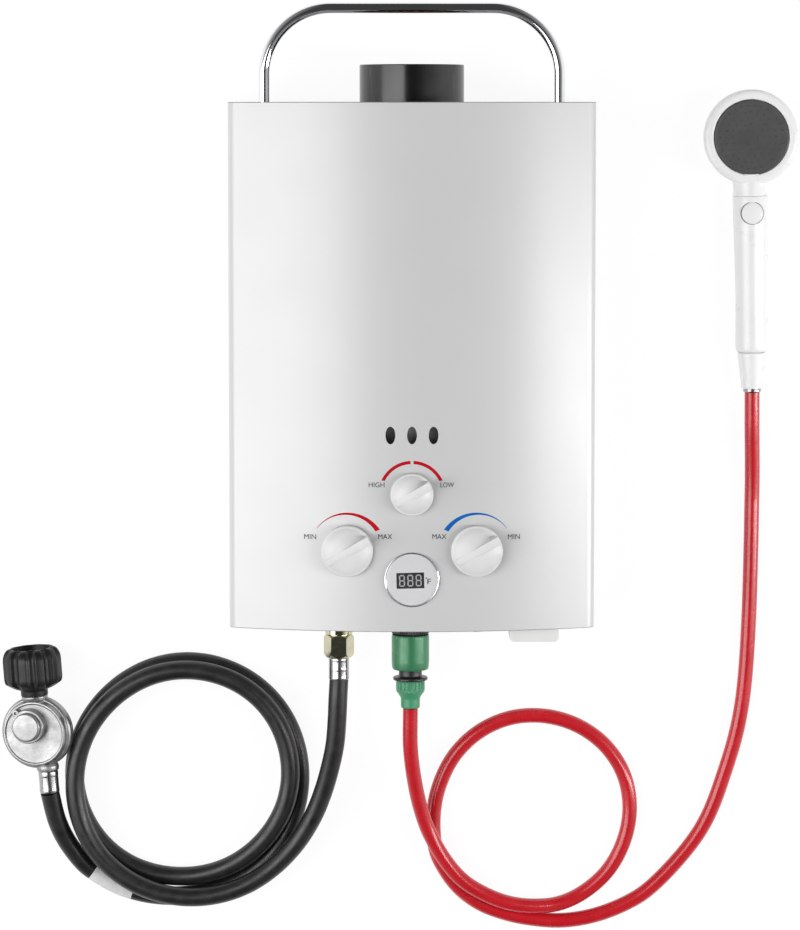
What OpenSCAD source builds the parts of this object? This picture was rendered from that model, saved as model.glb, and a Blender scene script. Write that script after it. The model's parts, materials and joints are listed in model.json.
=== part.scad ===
// Portable propane water heater, laid out flat with its gas hose, regulator, shower hose and handset.
// +X is to the right of the control panel, +Y is up the case towards the flue, +Z is out of the front.
// The origin is the middle of the back plate's rear face, which lies on the ground at z = 0.

/* [Case] */
// Width of the case
case_w = 293; // [287:1:303]
// Height of the case
case_h = 420; // [414:1:430]
// Depth of the case at the middle of its bowed front
case_d = 124; // [121:1:128]
// Radius of the bowed front, seen from above
front_r = 430; // [400:5:520]
// Radius of the two upright front corners
corner_r = 10; // [8:1:14]
// Thickness of the sheet steel of the case
sheet_t = 1.2; // [1:0.1:1.6]
// Gap between sheets that slide into each other
sheet_gap = 0.3; // [0.2:0.1:0.5]
// How far the top panel lies below the rim of the cover
top_recess = 16; // [15:0.5:18]
// How far the bottom panel lies above the lower edge of the cover
bottom_recess = 4; // [3:0.5:5]
// Width of one oval view hole
view_w = 7.8; // [6:0.2:9]
// Height of one oval view hole
view_h = 14; // [11:0.2:16]
// Distance between the view holes
view_pitch = 17.1; // [12:0.1:20]
// Height of the view holes above the lower edge
view_up = 157; // [150:1:165]

/* [Flue] */
// Outer radius of the flue collar
flue_r = 42; // [39:0.1:43]
// Wall of the flue collar
flue_wall = 1.5; // [1.2:0.1:2]
// How far the flue collar stands above the rim of the cover
flue_up = 30; // [26:1:32]

/* [Handle] */
// Width of the carrying handle over its tubes
handle_w = 246; // [240:1:250]
// How far the handle stands above the rim of the cover
handle_up = 80; // [76:1:86]
// Radius of the handle's tube
handle_r = 4.5; // [4:0.1:5]
// Radius of the handle's corners on the middle of the tube
handle_bend = 53.5; // [45:0.5:58]
// Depth at which the handle's pivots lie
handle_z = 60; // [58:1:64]
// Radius of the pivot pins
handle_pin_r = 2.6; // [2.2:0.1:3]

/* [Controls] */
// Radius of the gas and water knobs
knob_r = 20.5; // [18:0.1:22]
// Radius of the flame mode knob
mode_knob_r = 17; // [16:0.1:18]
// Distance of the gas and water knobs from the middle
knob_x = 51.5; // [50:0.5:53]
// Height of the gas and water knobs above the lower edge
knob_up = 65; // [64:0.2:67]
// Height of the mode knob above the lower edge
mode_up = 110.3; // [109:0.1:113]
// Thickness of a knob with its grip bar
knob_h = 15; // [12:0.5:18]
// Width of the grip bar at its pointer
grip_w = 6.6; // [5:0.1:8]
// Angle of the pointers to the right of straight up, at rest
knob_angle = 60.5; // [55:0.5:65]
// Radius of the knob stems
stem_r = 3; // [2.5:0.1:3.5]
// Gap round a turning stem
stem_gap = 0.1; // [0.05:0.05:0.2]
// Outer radius of the display's chrome ring
bezel_r = 21.8; // [20.5:0.1:23]
// Height of the display above the lower edge
display_up = 42; // [41:0.5:44]

/* [Gas and water fittings] */
// Depth at which the fittings leave the case
pipe_z = 45; // [44:0.5:46]
// Distance of the gas inlet to the left of the middle
gas_x = 59.5; // [58:0.5:60]
// Distance of the hot outlet to the left of the middle
hot_x = 1; // [0:0.5:2]
// Radius of the gas inlet stub's thread
gas_stub_r = 8; // [7.6:0.1:8.2]
// Radius over the gas nut's corners
gas_nut_r = 12.4; // [12:0.1:13.5]
// Radius of the cold inlet's half inch thread
cold_r = 10.48; // [10:0.01:11]
// Radius of the hot outlet stub
hot_r = 10.2; // [9.8:0.1:10.6]
// Outer radius of the green connector sleeve
sleeve_r = 15.4; // [15:0.1:16.5]
// Travel of the connector sleeve
sleeve_travel = 3; // [2:0.5:4]
// Radius of the gas hose
gas_hose_r = 7.8; // [7.3:0.1:7.8]
// Radius of the shower hose
shower_hose_r = 6.2; // [5.8:0.1:6.2]

/* [Battery box] */
// Radius of one cell
cell_r = 16.9; // [16.5:0.1:17.1]
// Length of one cell
cell_h = 61.5; // [60:0.5:62]
// Distance of the battery box's middle from the right side of the case
battery_side = 48.2; // [47:0.1:49]
// Thickness of the battery box's wall
box_wall = 1.5; // [1.2:0.1:1.8]
// Width of the battery lid
lid_w = 39.6; // [39:0.1:40.6]
// Thickness of the battery lid
lid_t = 15; // [13:0.5:16]

/* [Regulator] */
// How far the regulator is rolled to its left round the tank connection
reg_roll = 14; // [0:1:16]
// Radius of the regulator's round body
reg_r = 30; // [28.5:0.1:31]
// Radius of the fluted tank handwheel
wheel_r = 24; // [23:0.1:24.2]
// Length of the tank handwheel
wheel_h = 39.5; // [38:0.5:42]
// Radius of the tank thread inside the handwheel
tank_thread_r = 16.65; // [16:0.05:17]

/* [Handset] */
// Outer radius of the shower head
head_r = 38.8; // [37:0.1:40]
// Thickness of the shower head
head_h = 28; // [26:0.5:30]
// Radius of the dark spray plate
plate_r = 30.4; // [28:0.1:32]
// Radius of the handset's stick at its upper end
stick_r = 14.6; // [14:0.1:15]
// Length of the handset's stick
stick_h = 128; // [122:1:132]
// Radius of the stop button
button_r = 8.8; // [8:0.1:9]
// Travel of the stop button
button_travel = 2.5; // [2:0.5:2.5]

/* [Hidden] */
$fn = 48;

// Clearance between pieces that belong to different moving bodies
run_gap = 0.3;
// How far one solid reaches into another that it is fused with
fuse = 0.6;
// How far a cut runs past the face that it opens
past = 1;

// Levels up the case
rim_y = case_h / 2;
edge_y = -case_h / 2;
top_y = rim_y - top_recess;
top_under_y = top_y - sheet_t;
floor_y = edge_y + bottom_recess;
floor_over_y = floor_y + sheet_t;
cover_in = sheet_t + sheet_gap;
cover_back_z = 0.5;
big_z = case_d - front_r;
fillet_x = case_w / 2 - corner_r;
fillet_z = big_z + sqrt(pow(front_r - corner_r, 2) - pow(fillet_x, 2));
face_z = case_d;

// The burner stack behind the cover: half width, rear and front faces, and its levels
stack_x = case_w / 2 - 61;
stack_back = 22;
stack_front = face_z - 26;
stack_wall = 1;
hood_h = 42.5;
hood_y = top_under_y - hood_h;
hood_wall = flue_wall;
fins_h = 38;
fins_y = hood_y - fins_h;
fins_mid_y = fins_y + fins_h / 2;
valve_space = 142.5;
burner_y = floor_over_y + valve_space;
burner_h = 32;
chamber_y = burner_y + burner_h;
burner_bars = 8;
bar_w = 8;
bar_gap = 6;
slot_w = 3;
slot_pitch = 12;
water_r = 6;
fin_count = 20;
fin_t = 0.8;
tube_pitch = (stack_front - stack_back - 4) / 3;
tube_zs = [for (i = [-1 : 1]) (stack_back + stack_front) / 2 + i * tube_pitch];
electrode_x = 12;
electrode_r = 3;
electrode_y = chamber_y + 10;
electrode_in = 12;
tip_r = 1;

// Controls
mode_y = edge_y + mode_up;
knob_y = edge_y + knob_up;
display_y = edge_y + display_up;
mode_knob_z = face_z + 0.6;
knob_z = big_z + sqrt(pow(front_r, 2) - pow(knob_x - knob_r, 2)) + 0.6;
stem_in = 8;
cover_hole_r = stem_r + 4;
view_y = edge_y + view_up;

// Valves
valve_low_y = edge_y + 38;
jet_h = 16;
jet_r = 2.5;
manifold_y = burner_y - jet_h;
manifold_r = 6;
manifold_z = handle_z;
section_w = 32;
section_h = 30;
section_top_y = manifold_y - manifold_r - 4;
section_back = manifold_z - 9;
section_front = face_z - 18;
valve_back = 26;
gas_valve_in = 23.5;
gas_valve_out = 24.5;
gas_valve_top = section_top_y - 14;
gas_valve_front = face_z - 24;
solenoid_r = 10;
solenoid_z = gas_valve_front - 26;
link_r = 6;
link_z = manifold_z + 10;
water_valve_w = 35;
water_valve_h = 52;
water_valve_front = face_z - 32;
diaphragm_r = 26;
diaphragm_z = manifold_z - 2;
diaphragm_h = 20;
boss_h = 10;
boss_r = 9;
stem_low_z = face_z - 40;
gas_bore_r = 5;
water_bore_r = 7;
switch_h = 14;
igniter_low_y = edge_y + 18;
igniter_h = 66;
igniter_w = 46;
igniter_t = 25.5;
igniter_rim = 4;

// Handle
handle_x = handle_w / 2 - handle_r;
handle_top_y = rim_y + handle_up - handle_r;
pivot_y = top_y + 8;
eye_r = 5.5;
eye_h = 9.6;
ear_t = 2.4;
bracket_t = 2;
stop_z = handle_z - handle_r - run_gap;

// Fittings below the case
gas_nut_top_y = edge_y - 13;
gas_nut_low_y = edge_y - 32.6;
gas_ferrule_low_y = edge_y - 50.6;
gas_ferrule_r = 8.4;
gas_stub_y = edge_y - 24;
cold_stub_y = edge_y - 10;
hot_stub_y = edge_y - 10;
adapter_top_y = edge_y - 3;
adapter_low_y = edge_y - 13;
sleeve_low_y = edge_y - 42.3;
ring_low_y = edge_y - 51.2;
ring_t = 2.8;
connector_nut_y = edge_y - 61;
neck_taper = 4.6;
hose_exit_y = edge_y - 74.3;
nipple_r = 7.5;
connector_r = 11;
waist_r = 9.5;
ring_r = 14.2;
rib_nut_r = 11.8;
neck_r = 7.8;

// Battery box
cavity_w = 2 * cell_r + 1;
cavity_d = 4 * cell_r + 1.4;
box_w = cavity_w + 2 * box_wall;
box_d = cavity_d + 2 * box_wall;
battery_x = case_w / 2 - battery_side;
box_mid_z = 0.468 * case_d;
box_back_z = box_mid_z - box_d / 2;
box_low_y = floor_y - 0.6;
box_top_y = box_low_y + cell_h + 3 + box_wall;
lid_top_y = floor_y - 1;
lid_back_z = box_back_z - 5;
lid_front_z = box_back_z + box_d + 2;
hinge_y = lid_top_y - 6;
hinge_z = lid_back_z + 3;
hinge_r = 1.5;
hinge_gap = 0.15;
lug_t = 2.3;

// Regulator, in its own axes: the tank's axis is its +Y axis, and +Z is out of its cover
reg_x = -309;
reg_y = -308;
reg_turn = 4;
axis_z = wheel_r + 0.4;
reg_low = -19.4;
reg_low_r = 18;
reg_waist_r = 25;
reg_split = -0.4;
reg_flange_t = 4;
reg_face_r = 26.6;
reg_face = 9.5;
reg_rim_t = 1.8;
reg_dish = 0.9;
reg_out_x = 6.5;
reg_boss_r = 9.4;
reg_ferrule_r = 8.2;
reg_ferrule_y = -32.4;
reg_ferrule_h = 18.4;
hub_r = 14;
hub_top = reg_face + 7;
hub_x = -2.6;
hub_y = 7;
cap_r = 12;
cap_h = 4.5;
cap_stem_r = 7.6;
vent_r = 3;
vent_x = -13;
vent_y = 18;
reg_neck_y = reg_r + 0.5;
wheel_y = reg_neck_y + run_gap;
wheel_neck_r = 11.2;
wheel_neck_h = 5.4;
neck_wheel_r = 9;
neck_r_reg = 11;
thread_h = 11;
flute_count = 10;
flute_r = 4;

// Handset, in its own axes: +Y runs from the hose to the head
set_x = 280;
set_y = -27;
set_turn = 0.93;
set_z = stick_r + 0.4;
crimp_h = 15;
crimp_r = 7.4;
set_nut_h = 29.6;
set_nut_y = 3;
stick_y = set_nut_y + set_nut_h + run_gap;
stick_low_r = 13.5;
head_y = stick_y + stick_h + 48;
button_y = stick_y + stick_h - 13.8;
button_top_z = set_z + stick_r + 1.5;
button_low_z = set_z + 7;

// ---------------------------------------------------------------- helpers

// A box between two opposite corners
module block(x0, x1, y0, y1, z0, z1) {
    translate([x0, y0, z0]) cube([x1 - x0, y1 - y0, z1 - z0]);
}

// Round bars along the three axes
module rod_x(x0, x1, y, z, r) {
    translate([x0, y, z]) rotate([0, 90, 0]) cylinder(r = r, h = x1 - x0);
}
module rod_y(x, y0, y1, z, r) {
    translate([x, y0, z]) rotate([-90, 0, 0]) cylinder(r = r, h = y1 - y0);
}
module rod_z(x, y, z0, z1, r) {
    translate([x, y, z0]) cylinder(r = r, h = z1 - z0);
}

// Children drawn round +Z are stood along +Y, with their base at the given point
module along_y(x, y, z) {
    translate([x, y, z]) rotate([-90, 0, 0]) children();
}

// The case seen from above: bowed front, round front corners and straight sides, in short steps
// that stay within a few hundredths of a millimetre of the arcs
bow_turn = atan2(fillet_x, fillet_z - big_z);
bow_steps = 36;
corner_steps = 12;
function bow_half(inset) = [
    for (k = [0 : bow_steps / 2 - 1])
        let (a = 2 * k * bow_turn / bow_steps, r = front_r - inset)
        [r * sin(a), big_z + r * cos(a)],
    for (k = [0 : corner_steps])
        let (a = bow_turn + (90 - bow_turn) * k / corner_steps, r = corner_r - inset)
        [fillet_x + r * sin(a), fillet_z + r * cos(a)],
];
module case_plan(inset, back_z) {
    right = bow_half(inset);
    count = len(right);
    polygon([
        for (p = right) p,
        [case_w / 2 - inset, back_z],
        [-case_w / 2 + inset, back_z],
        for (k = [count - 1 : -1 : 1]) [-right[k][0], right[k][1]],
    ]);
}

// The case plan as a slab between two levels
module case_slab(inset, back_z, low_y, high_y) {
    translate([0, high_y, 0]) rotate([90, 0, 0])
        linear_extrude(high_y - low_y) case_plan(inset, back_z);
}

// An upright oval, as a hole through the cover
module oval(w, h, t) {
    linear_extrude(t) polygon([for (a = [0 : 9 : 351]) [w / 2 * cos(a), h / 2 * sin(a)]]);
}

// A round-cornered path between hand-placed points; the first and last only set its direction
function curve_at(a, b, c, d, t) =
    0.5 * (2 * b + (c - a) * t + (2 * a - 5 * b + 4 * c - d) * t * t
        + (3 * b - a - 3 * c + d) * t * t * t);
function curve(p, steps) = [
    for (i = [1 : len(p) - 3])
        for (k = [0 : (i == len(p) - 3 ? steps : steps - 1)])
            curve_at(p[i - 1], p[i], p[i + 1], p[i + 2], k / steps)
];
function unit(v) = v / norm(v);
// Direction of a path at its point i; the ends take the given directions
function heading(p, i, first, last) =
    i == 0 ? first : i == len(p) - 1 ? last : unit(unit(p[i + 1] - p[i]) + unit(p[i] - p[i - 1]));
function ring(c, t, r, sides) =
    let (side = unit(cross([0, 0, 1], t)), up = cross(t, side))
    [for (j = [0 : sides - 1]) c + r * (cos(360 * j / sides) * side + sin(360 * j / sides) * up)];

// A solid tube through the points of a path, one ring at each point
module tube(p, r, sides, first, last) {
    n = len(p);
    rings = [for (i = [0 : n - 1]) each ring(p[i], heading(p, i, first, last), r, sides)];
    sides_faces = [
        for (i = [0 : n - 2])
            for (j = [0 : sides - 1])
                let (a = i * sides + j, b = i * sides + (j + 1) % sides)
                each [[a, b + sides, b], [a, a + sides, b + sides]]
    ];
    start_cap = [for (j = [1 : sides - 2]) [0, j, j + 1]];
    end_cap = [for (j = [1 : sides - 2]) [0, j + 1, j] + (n - 1) * sides * [1, 1, 1]];
    polyhedron(points = rings, faces = concat(sides_faces, start_cap, end_cap), convexity = 8);
}

// Least distance between the middles of two stretches of a path that are not neighbours
function least_gap(p, apart) =
    min([for (i = [0 : len(p) - 1 - apart]) for (j = [i + apart : len(p) - 1]) norm(p[i] - p[j])]);

// ---------------------------------------------------------------- case

module back_plate() {
    side = case_w / 2 - cover_in;
    flange = 10;
    hole_y = rim_y - 40;
    color("gainsboro") difference() {
        union() {
            block(-side, side, edge_y, rim_y, 0, sheet_t);
            for (s = [-1, 1])
                block(s * (side - sheet_t / 2) - sheet_t / 2, s * (side - sheet_t / 2) + sheet_t / 2,
                    floor_over_y + sheet_gap, top_under_y - sheet_gap, 0, flange);
        }
        // Keyhole for hanging, and two screw holes below
        rod_z(0, hole_y, -past, sheet_t + past, 6);
        rod_z(0, hole_y + 10, -past, sheet_t + past, 3.2);
        block(-3.2, 3.2, hole_y, hole_y + 10, -past, sheet_t + past);
        for (s = [-1, 1])
            rod_z(s * wall_hole_x, wall_hole_y, -past, sheet_t + past, wall_hole_r);
        // Air slots
        for (s = [-1, 1])
            for (k = [0 : 5])
                block(s * 80 - 25, s * 80 + 25, burner_y - 4 + 9 * k, burner_y + 9 * k,
                    -past, sheet_t + past);
    }
}
wall_hole_x = 100;
wall_hole_y = edge_y + 25;
wall_hole_r = 3;

screw_x = case_w / 2 - 50;
tab_w = 20;
screw_r = 2;
// The lower screws stand beside the battery lid
low_screw_x = battery_x - lid_w / 2 - 14;
function tab_front(x, inset) = big_z + sqrt(pow(front_r - inset, 2) - pow(x + tab_w / 2, 2));
screw_z = tab_front(screw_x, 0) - 9.5;
low_screw_z = tab_front(low_screw_x, 0) - 9.5;

module front_cover() {
    color("whitesmoke") difference() {
        union() {
            difference() {
                case_slab(0, cover_back_z, edge_y, rim_y);
                case_slab(sheet_t, cover_back_z - 2, edge_y - past, rim_y + past);
            }
            for (s = [-1, 1]) {
                block(s * screw_x - tab_w / 2, s * screw_x + tab_w / 2, top_y, top_y + sheet_t,
                    screw_z - 4, tab_front(screw_x, sheet_t) + fuse);
                block(s * low_screw_x - tab_w / 2, s * low_screw_x + tab_w / 2, floor_y - sheet_t, floor_y,
                    low_screw_z - 4, tab_front(low_screw_x, sheet_t) + fuse);
            }
        }
        for (i = [-1 : 1])
            translate([i * view_pitch, view_y, case_d - 10]) oval(view_w, view_h, 20);
        for (s = [-1, 1])
            rod_z(s * knob_x, knob_y, case_d - 20, case_d + past, cover_hole_r);
        rod_z(0, mode_y, case_d - 20, case_d + past, cover_hole_r);
        rod_z(0, display_y, case_d - 20, case_d + past, bezel_r - 1.8);
        for (s = [-1, 1]) {
            rod_y(s * screw_x, top_y - past, top_y + sheet_t + past, screw_z, screw_r + 0.2);
            rod_y(s * low_screw_x, floor_y - sheet_t - past, floor_y + past, low_screw_z, screw_r + 0.2);
        }
    }
}

module cover_screws() {
    color("silver")
        for (s = [-1, 1]) {
            rod_y(s * screw_x, top_y - 6, top_y + sheet_t, screw_z, screw_r);
            screw_head(s * screw_x, top_y + sheet_t, screw_z, 1);
            rod_y(s * low_screw_x, floor_y - sheet_t, floor_y + 6, low_screw_z, screw_r);
            screw_head(s * low_screw_x, floor_y - sheet_t, low_screw_z, -1);
        }
}
module screw_head(x, y, z, up) {
    h = 2.2;
    difference() {
        rod_y(x, min(y, y + up * h), max(y, y + up * h), z, 2 * screw_r);
        block(x - 2.8, x + 2.8, y + up * h - 0.7, y + up * h + 0.7, z - 0.5, z + 0.5);
    }
}

// Half width of the lips by which the panels lie on the back plate
lip_x = case_w / 2 - 16.5;

module top_panel() {
    color("gainsboro") difference() {
        union() {
            case_slab(cover_in, sheet_t, top_under_y, top_y);
            block(-lip_x, lip_x, top_under_y - 12, top_under_y + fuse, sheet_t, 2 * sheet_t);
        }
        rod_y(0, top_under_y - past, top_y + past, handle_z, flue_r - flue_wall);
        for (s = [-1, 1])
            rod_y(s * screw_x, top_under_y - past, top_y + past, screw_z, screw_r + 0.2);
    }
}

module bottom_panel() {
    half = lid_w / 2;
    opening = box_w / 2 + 0.3;
    color("gainsboro") {
        difference() {
            union() {
                case_slab(cover_in, sheet_t, floor_y, floor_over_y);
                block(-lip_x, lip_x, floor_over_y - fuse, floor_over_y + 12, sheet_t, 2 * sheet_t);
                // Lugs that carry the lid
                for (s = [-1, 1])
                    block(battery_x + s * (half + run_gap + lug_t / 2) - lug_t / 2,
                        battery_x + s * (half + run_gap + lug_t / 2) + lug_t / 2,
                        hinge_y - 3.5, floor_y + fuse, hinge_z - 4, hinge_z + 4);
                for (s = [-1, 1])
                    rod_x(min(battery_x + s * (half - 4), battery_x + s * (half + run_gap + fuse)),
                        max(battery_x + s * (half - 4), battery_x + s * (half + run_gap + fuse)),
                        hinge_y, hinge_z, hinge_r);
            }
            rod_y(-gas_x, floor_y - past, floor_over_y + past, pipe_z, gas_stub_r + 0.3);
            rod_y(-hot_x, floor_y - past, floor_over_y + past, pipe_z, hot_r + 0.3);
            rod_y(knob_x, floor_y - past, floor_over_y + past, pipe_z, cold_r + 0.3);
            block(battery_x - opening, battery_x + opening, floor_y - past, floor_over_y + past,
                box_back_z - 0.3, box_back_z + box_d + 0.3);
            for (s = [-1, 1])
                rod_y(s * low_screw_x, floor_y - past, floor_over_y + past, low_screw_z, screw_r + 0.2);
            // Air slots under the burner
            for (k = [0 : 3])
                block(-120, -84, floor_y - past, floor_over_y + past, 30 + 14 * k, 36 + 14 * k);
        }
    }
}

// ---------------------------------------------------------------- flue and burner stack

module flue_collar() {
    h = rim_y + flue_up - top_y;
    foot = 7;
    bead = 1.2;
    color([0.06, 0.06, 0.07]) along_y(0, top_y, handle_z) rotate_extrude($fn = 96) {
        difference() {
            union() {
                square([flue_r, h - bead]);
                square([flue_r + foot, flue_wall]);
            }
            translate([-past, -past]) square([flue_r - flue_wall + past, h + 2 * past]);
        }
        translate([flue_r - bead, h - bead]) circle(r = bead, $fn = 24);
    }
}

// The hood is deeper than the stack, because the flue is wider
module flue_hood() {
    deep = flue_r + hood_wall;
    color("silver") difference() {
        block(-stack_x, stack_x, hood_y, top_under_y, handle_z - deep, handle_z + deep);
        block(-stack_x + stack_wall, stack_x - stack_wall, hood_y - past, top_under_y - stack_wall,
            handle_z - flue_r, handle_z + flue_r);
        rod_y(0, top_under_y - stack_wall - past, top_under_y + past, handle_z, flue_r - flue_wall);
    }
}

module heat_exchanger() {
    end_t = 1.5;
    bend_r = tube_pitch / 2;
    room = 2 * stack_x - 2 * end_t;
    color([0.72, 0.45, 0.32]) {
        for (i = [0 : fin_count - 1]) {
            x = -stack_x + end_t + (i + 0.5) * room / fin_count;
            block(x - fin_t / 2, x + fin_t / 2, fins_y, hood_y, stack_back, stack_front);
        }
        for (s = [-1, 1])
            block(s * (stack_x - end_t / 2) - end_t / 2, s * (stack_x - end_t / 2) + end_t / 2,
                fins_y, hood_y, stack_back, stack_front);
        for (z = tube_zs)
            rod_x(-stack_x - end_t, stack_x + end_t, fins_mid_y, z, water_r);
        for (s = [-1, 1])
            translate([s * (stack_x + end_t - 0.1), fins_mid_y, (tube_zs[1] + tube_zs[1 + s]) / 2])
                rotate([90, s > 0 ? -90 : 90, 0]) rotate_extrude(angle = 180)
                    translate([bend_r, 0]) circle(r = water_r, $fn = 32);
    }
}

module combustion_chamber() {
    color([0.78, 0.5, 0.36]) difference() {
        block(-stack_x, stack_x, chamber_y, fins_y, stack_back, stack_front);
        block(-stack_x + stack_wall, stack_x - stack_wall, chamber_y - past, fins_y + past,
            stack_back + stack_wall, stack_front - stack_wall);
        for (s = [-1, 1])
            rod_z(s * electrode_x, electrode_y, stack_front - 3, stack_front + past, electrode_r + 0.2);
    }
}

function bar_x(i) = (i - (burner_bars - 1) / 2) * (2 * stack_x - 8) / burner_bars;

module burner() {
    bar_back = stack_back + bar_gap;
    bar_front = stack_front - bar_gap;
    slots = floor((bar_front - bar_back) / slot_pitch);
    color("darkgray") {
        difference() {
            block(-stack_x, stack_x, burner_y, chamber_y, stack_back, stack_front);
            block(-stack_x + stack_wall, stack_x - stack_wall, burner_y + stack_wall, chamber_y + past,
                stack_back + stack_wall, stack_front - stack_wall);
        }
        for (i = [0 : burner_bars - 1])
            difference() {
                block(bar_x(i) - bar_w / 2, bar_x(i) + bar_w / 2, burner_y + stack_wall / 2,
                    chamber_y - bar_gap, bar_back, bar_front);
                for (k = [0 : slots - 1])
                    block(bar_x(i) - bar_w / 4, bar_x(i) + bar_w / 4, chamber_y - 2.4 * bar_gap,
                        chamber_y, bar_back + slot_w + slot_pitch * k, bar_back + 2 * slot_w + slot_pitch * k);
            }
    }
}

module gas_manifold() {
    color("goldenrod") {
        rod_x(-stack_x + manifold_r, stack_x - manifold_r, manifold_y, manifold_z, manifold_r);
        for (i = [0 : burner_bars - 1])
            rod_y(bar_x(i), manifold_y, burner_y, manifold_z, jet_r);
        block(-section_w / 4, section_w / 4, section_top_y, manifold_y,
            manifold_z - section_w / 4, manifold_z + section_w / 4);
    }
}

// ---------------------------------------------------------------- valves and pipes

module section_valve() {
    color("goldenrod") difference() {
        union() {
            block(-section_w / 2, section_w / 2, section_top_y - section_h, section_top_y,
                section_back, section_front);
            rod_z(0, mode_y, section_front - fuse, section_front + boss_h, stem_r + 4);
        }
        rod_z(0, mode_y, stem_low_z, section_front + boss_h + past, stem_r + stem_gap);
    }
}

module gas_valve() {
    left = -knob_x - gas_valve_out;
    right = -knob_x + gas_valve_in;
    color([0.75, 0.75, 0.78]) difference() {
        union() {
            block(left, right, valve_low_y, gas_valve_top, valve_back, gas_valve_front);
            rod_z(-knob_x, knob_y, gas_valve_front - fuse, gas_valve_front + boss_h, boss_r);
            rod_x(right - fuse, -section_w / 2, gas_valve_top - link_r - 2, link_z, link_r);
            rod_y(-knob_x - solenoid_r, gas_valve_top - fuse, manifold_y - manifold_r - 2,
                solenoid_z, solenoid_r);
        }
        rod_z(-knob_x, knob_y, stem_low_z, gas_valve_front + boss_h + past, stem_r + stem_gap);
        rod_y(-gas_x, valve_low_y - past, valve_low_y + 20, pipe_z, gas_bore_r);
        // Cast hollows behind the gas way
        for (s = [-1, 1])
            block((left + right) / 2 + s * 12 - 9, (left + right) / 2 + s * 12 + 9,
                valve_low_y + 26, gas_valve_top - 6, valve_back - past, valve_back + 22);
    }
}

module water_valve() {
    front = water_valve_front + boss_h + 6;
    color([0.8, 0.68, 0.36]) difference() {
        union() {
            block(knob_x - water_valve_w / 2, knob_x + water_valve_w / 2, valve_low_y,
                valve_low_y + water_valve_h, valve_back, water_valve_front);
            rod_z(knob_x, valve_low_y + diaphragm_r, diaphragm_z, diaphragm_z + 6, diaphragm_r);
            rod_z(knob_x, valve_low_y + diaphragm_r, diaphragm_z + 5, diaphragm_z + diaphragm_h,
                diaphragm_r - 3);
            rod_z(knob_x, knob_y, water_valve_front - fuse, front, boss_r);
        }
        rod_z(knob_x, knob_y, stem_low_z, front + past, stem_r + stem_gap);
        rod_y(knob_x, valve_low_y - past, valve_low_y + 20, pipe_z, water_bore_r);
    }
}

module micro_switch() {
    y = valve_low_y + water_valve_h;
    color("black") {
        block(knob_x - 11, knob_x + 9, y, y + switch_h, manifold_z, manifold_z + 12);
        block(knob_x - 9, knob_x + 7, y + switch_h - 1, y + switch_h + 1, manifold_z + 3, manifold_z + 9);
    }
}

module gas_inlet_pipe() {
    color("goldenrod") difference() {
        union() {
            rod_y(-gas_x, gas_stub_y, valve_low_y, pipe_z, gas_stub_r);
            along_y(-gas_x, floor_over_y, pipe_z) cylinder(r = gas_stub_r + 5, h = 6, $fn = 6);
        }
        rod_y(-gas_x, gas_stub_y - past, valve_low_y + past, pipe_z, gas_bore_r);
    }
}

module cold_inlet_pipe() {
    color("goldenrod") difference() {
        union() {
            rod_y(knob_x, cold_stub_y, floor_y - run_gap, pipe_z, cold_r);
            rod_y(knob_x, floor_y - past, valve_low_y, pipe_z, cold_r - 1.5);
            rod_y(knob_x, floor_over_y, floor_over_y + 4, pipe_z, cold_r + 5);
        }
        rod_y(knob_x, cold_stub_y - past, valve_low_y + past, pipe_z, water_bore_r);
    }
}

// The water's way to the exchanger and back runs beside the stack
pipe_x = stack_x + 26;
low_z = pipe_z - 5;
feed_x = knob_x + 8.5;
feed_y = valve_low_y + water_valve_h;
side_y = fins_mid_y - 19;
side_h = side_y - burner_y;
feed_route = [
    [feed_x, feed_y - 20, low_z],
    [feed_x, feed_y, low_z],
    [feed_x + 1, feed_y + 14, low_z],
    [feed_x + 8, feed_y + 28, low_z],
    [(feed_x + pipe_x) / 2, burner_y - 16, low_z + 1],
    [pipe_x - 8, burner_y, low_z + 3],
    [pipe_x, burner_y + 0.13 * side_h, pipe_z],
    [pipe_x, burner_y + 0.48 * side_h, pipe_z],
    [pipe_x, burner_y + 0.82 * side_h, pipe_z - 4],
    [pipe_x - 1, side_y, tube_zs[0] + 1],
    [pipe_x - 6, fins_mid_y - 4, tube_zs[0]],
    [stack_x + 2, fins_mid_y, tube_zs[0]],
    [stack_x - 20, fins_mid_y, tube_zs[0]],
];

module feed_pipe() {
    color([0.72, 0.45, 0.32])
        tube(curve(feed_route, 2), water_r, 10, [0, 1, 0], [-1, 0, 0]);
}

hot_low_z = pipe_z - 10;
hot_low_y = burner_y - 29;
hot_route = [
    [-stack_x + 20, fins_mid_y, tube_zs[2]],
    [-stack_x - 2, fins_mid_y, tube_zs[2]],
    [-pipe_x + 6, fins_mid_y - 4, tube_zs[2] - 1],
    [-pipe_x, side_y, tube_zs[2] - 4],
    [-pipe_x, burner_y + 0.7 * side_h, tube_zs[2] - 20],
    [-pipe_x, burner_y + 0.24 * side_h, pipe_z + 3],
    [-pipe_x, burner_y, pipe_z - 5],
    [-pipe_x + 6, burner_y - 20, hot_low_z + 1],
    [-pipe_x + 24, hot_low_y, hot_low_z],
    [-gas_x + 3, hot_low_y, hot_low_z],
    [-hot_x - 25, hot_low_y, hot_low_z],
    [-hot_x - 9, hot_low_y - 3, hot_low_z + 1],
    [-hot_x - 1.5, hot_low_y - 15, hot_low_z + 3],
    [-hot_x, hot_low_y - 33, hot_low_z + 6],
    [-hot_x, hot_low_y - 55, pipe_z - 1],
    [-hot_x, floor_over_y + 34, pipe_z],
    [-hot_x, floor_over_y + 8, pipe_z],
    [-hot_x, floor_over_y - 20, pipe_z],
];

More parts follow.
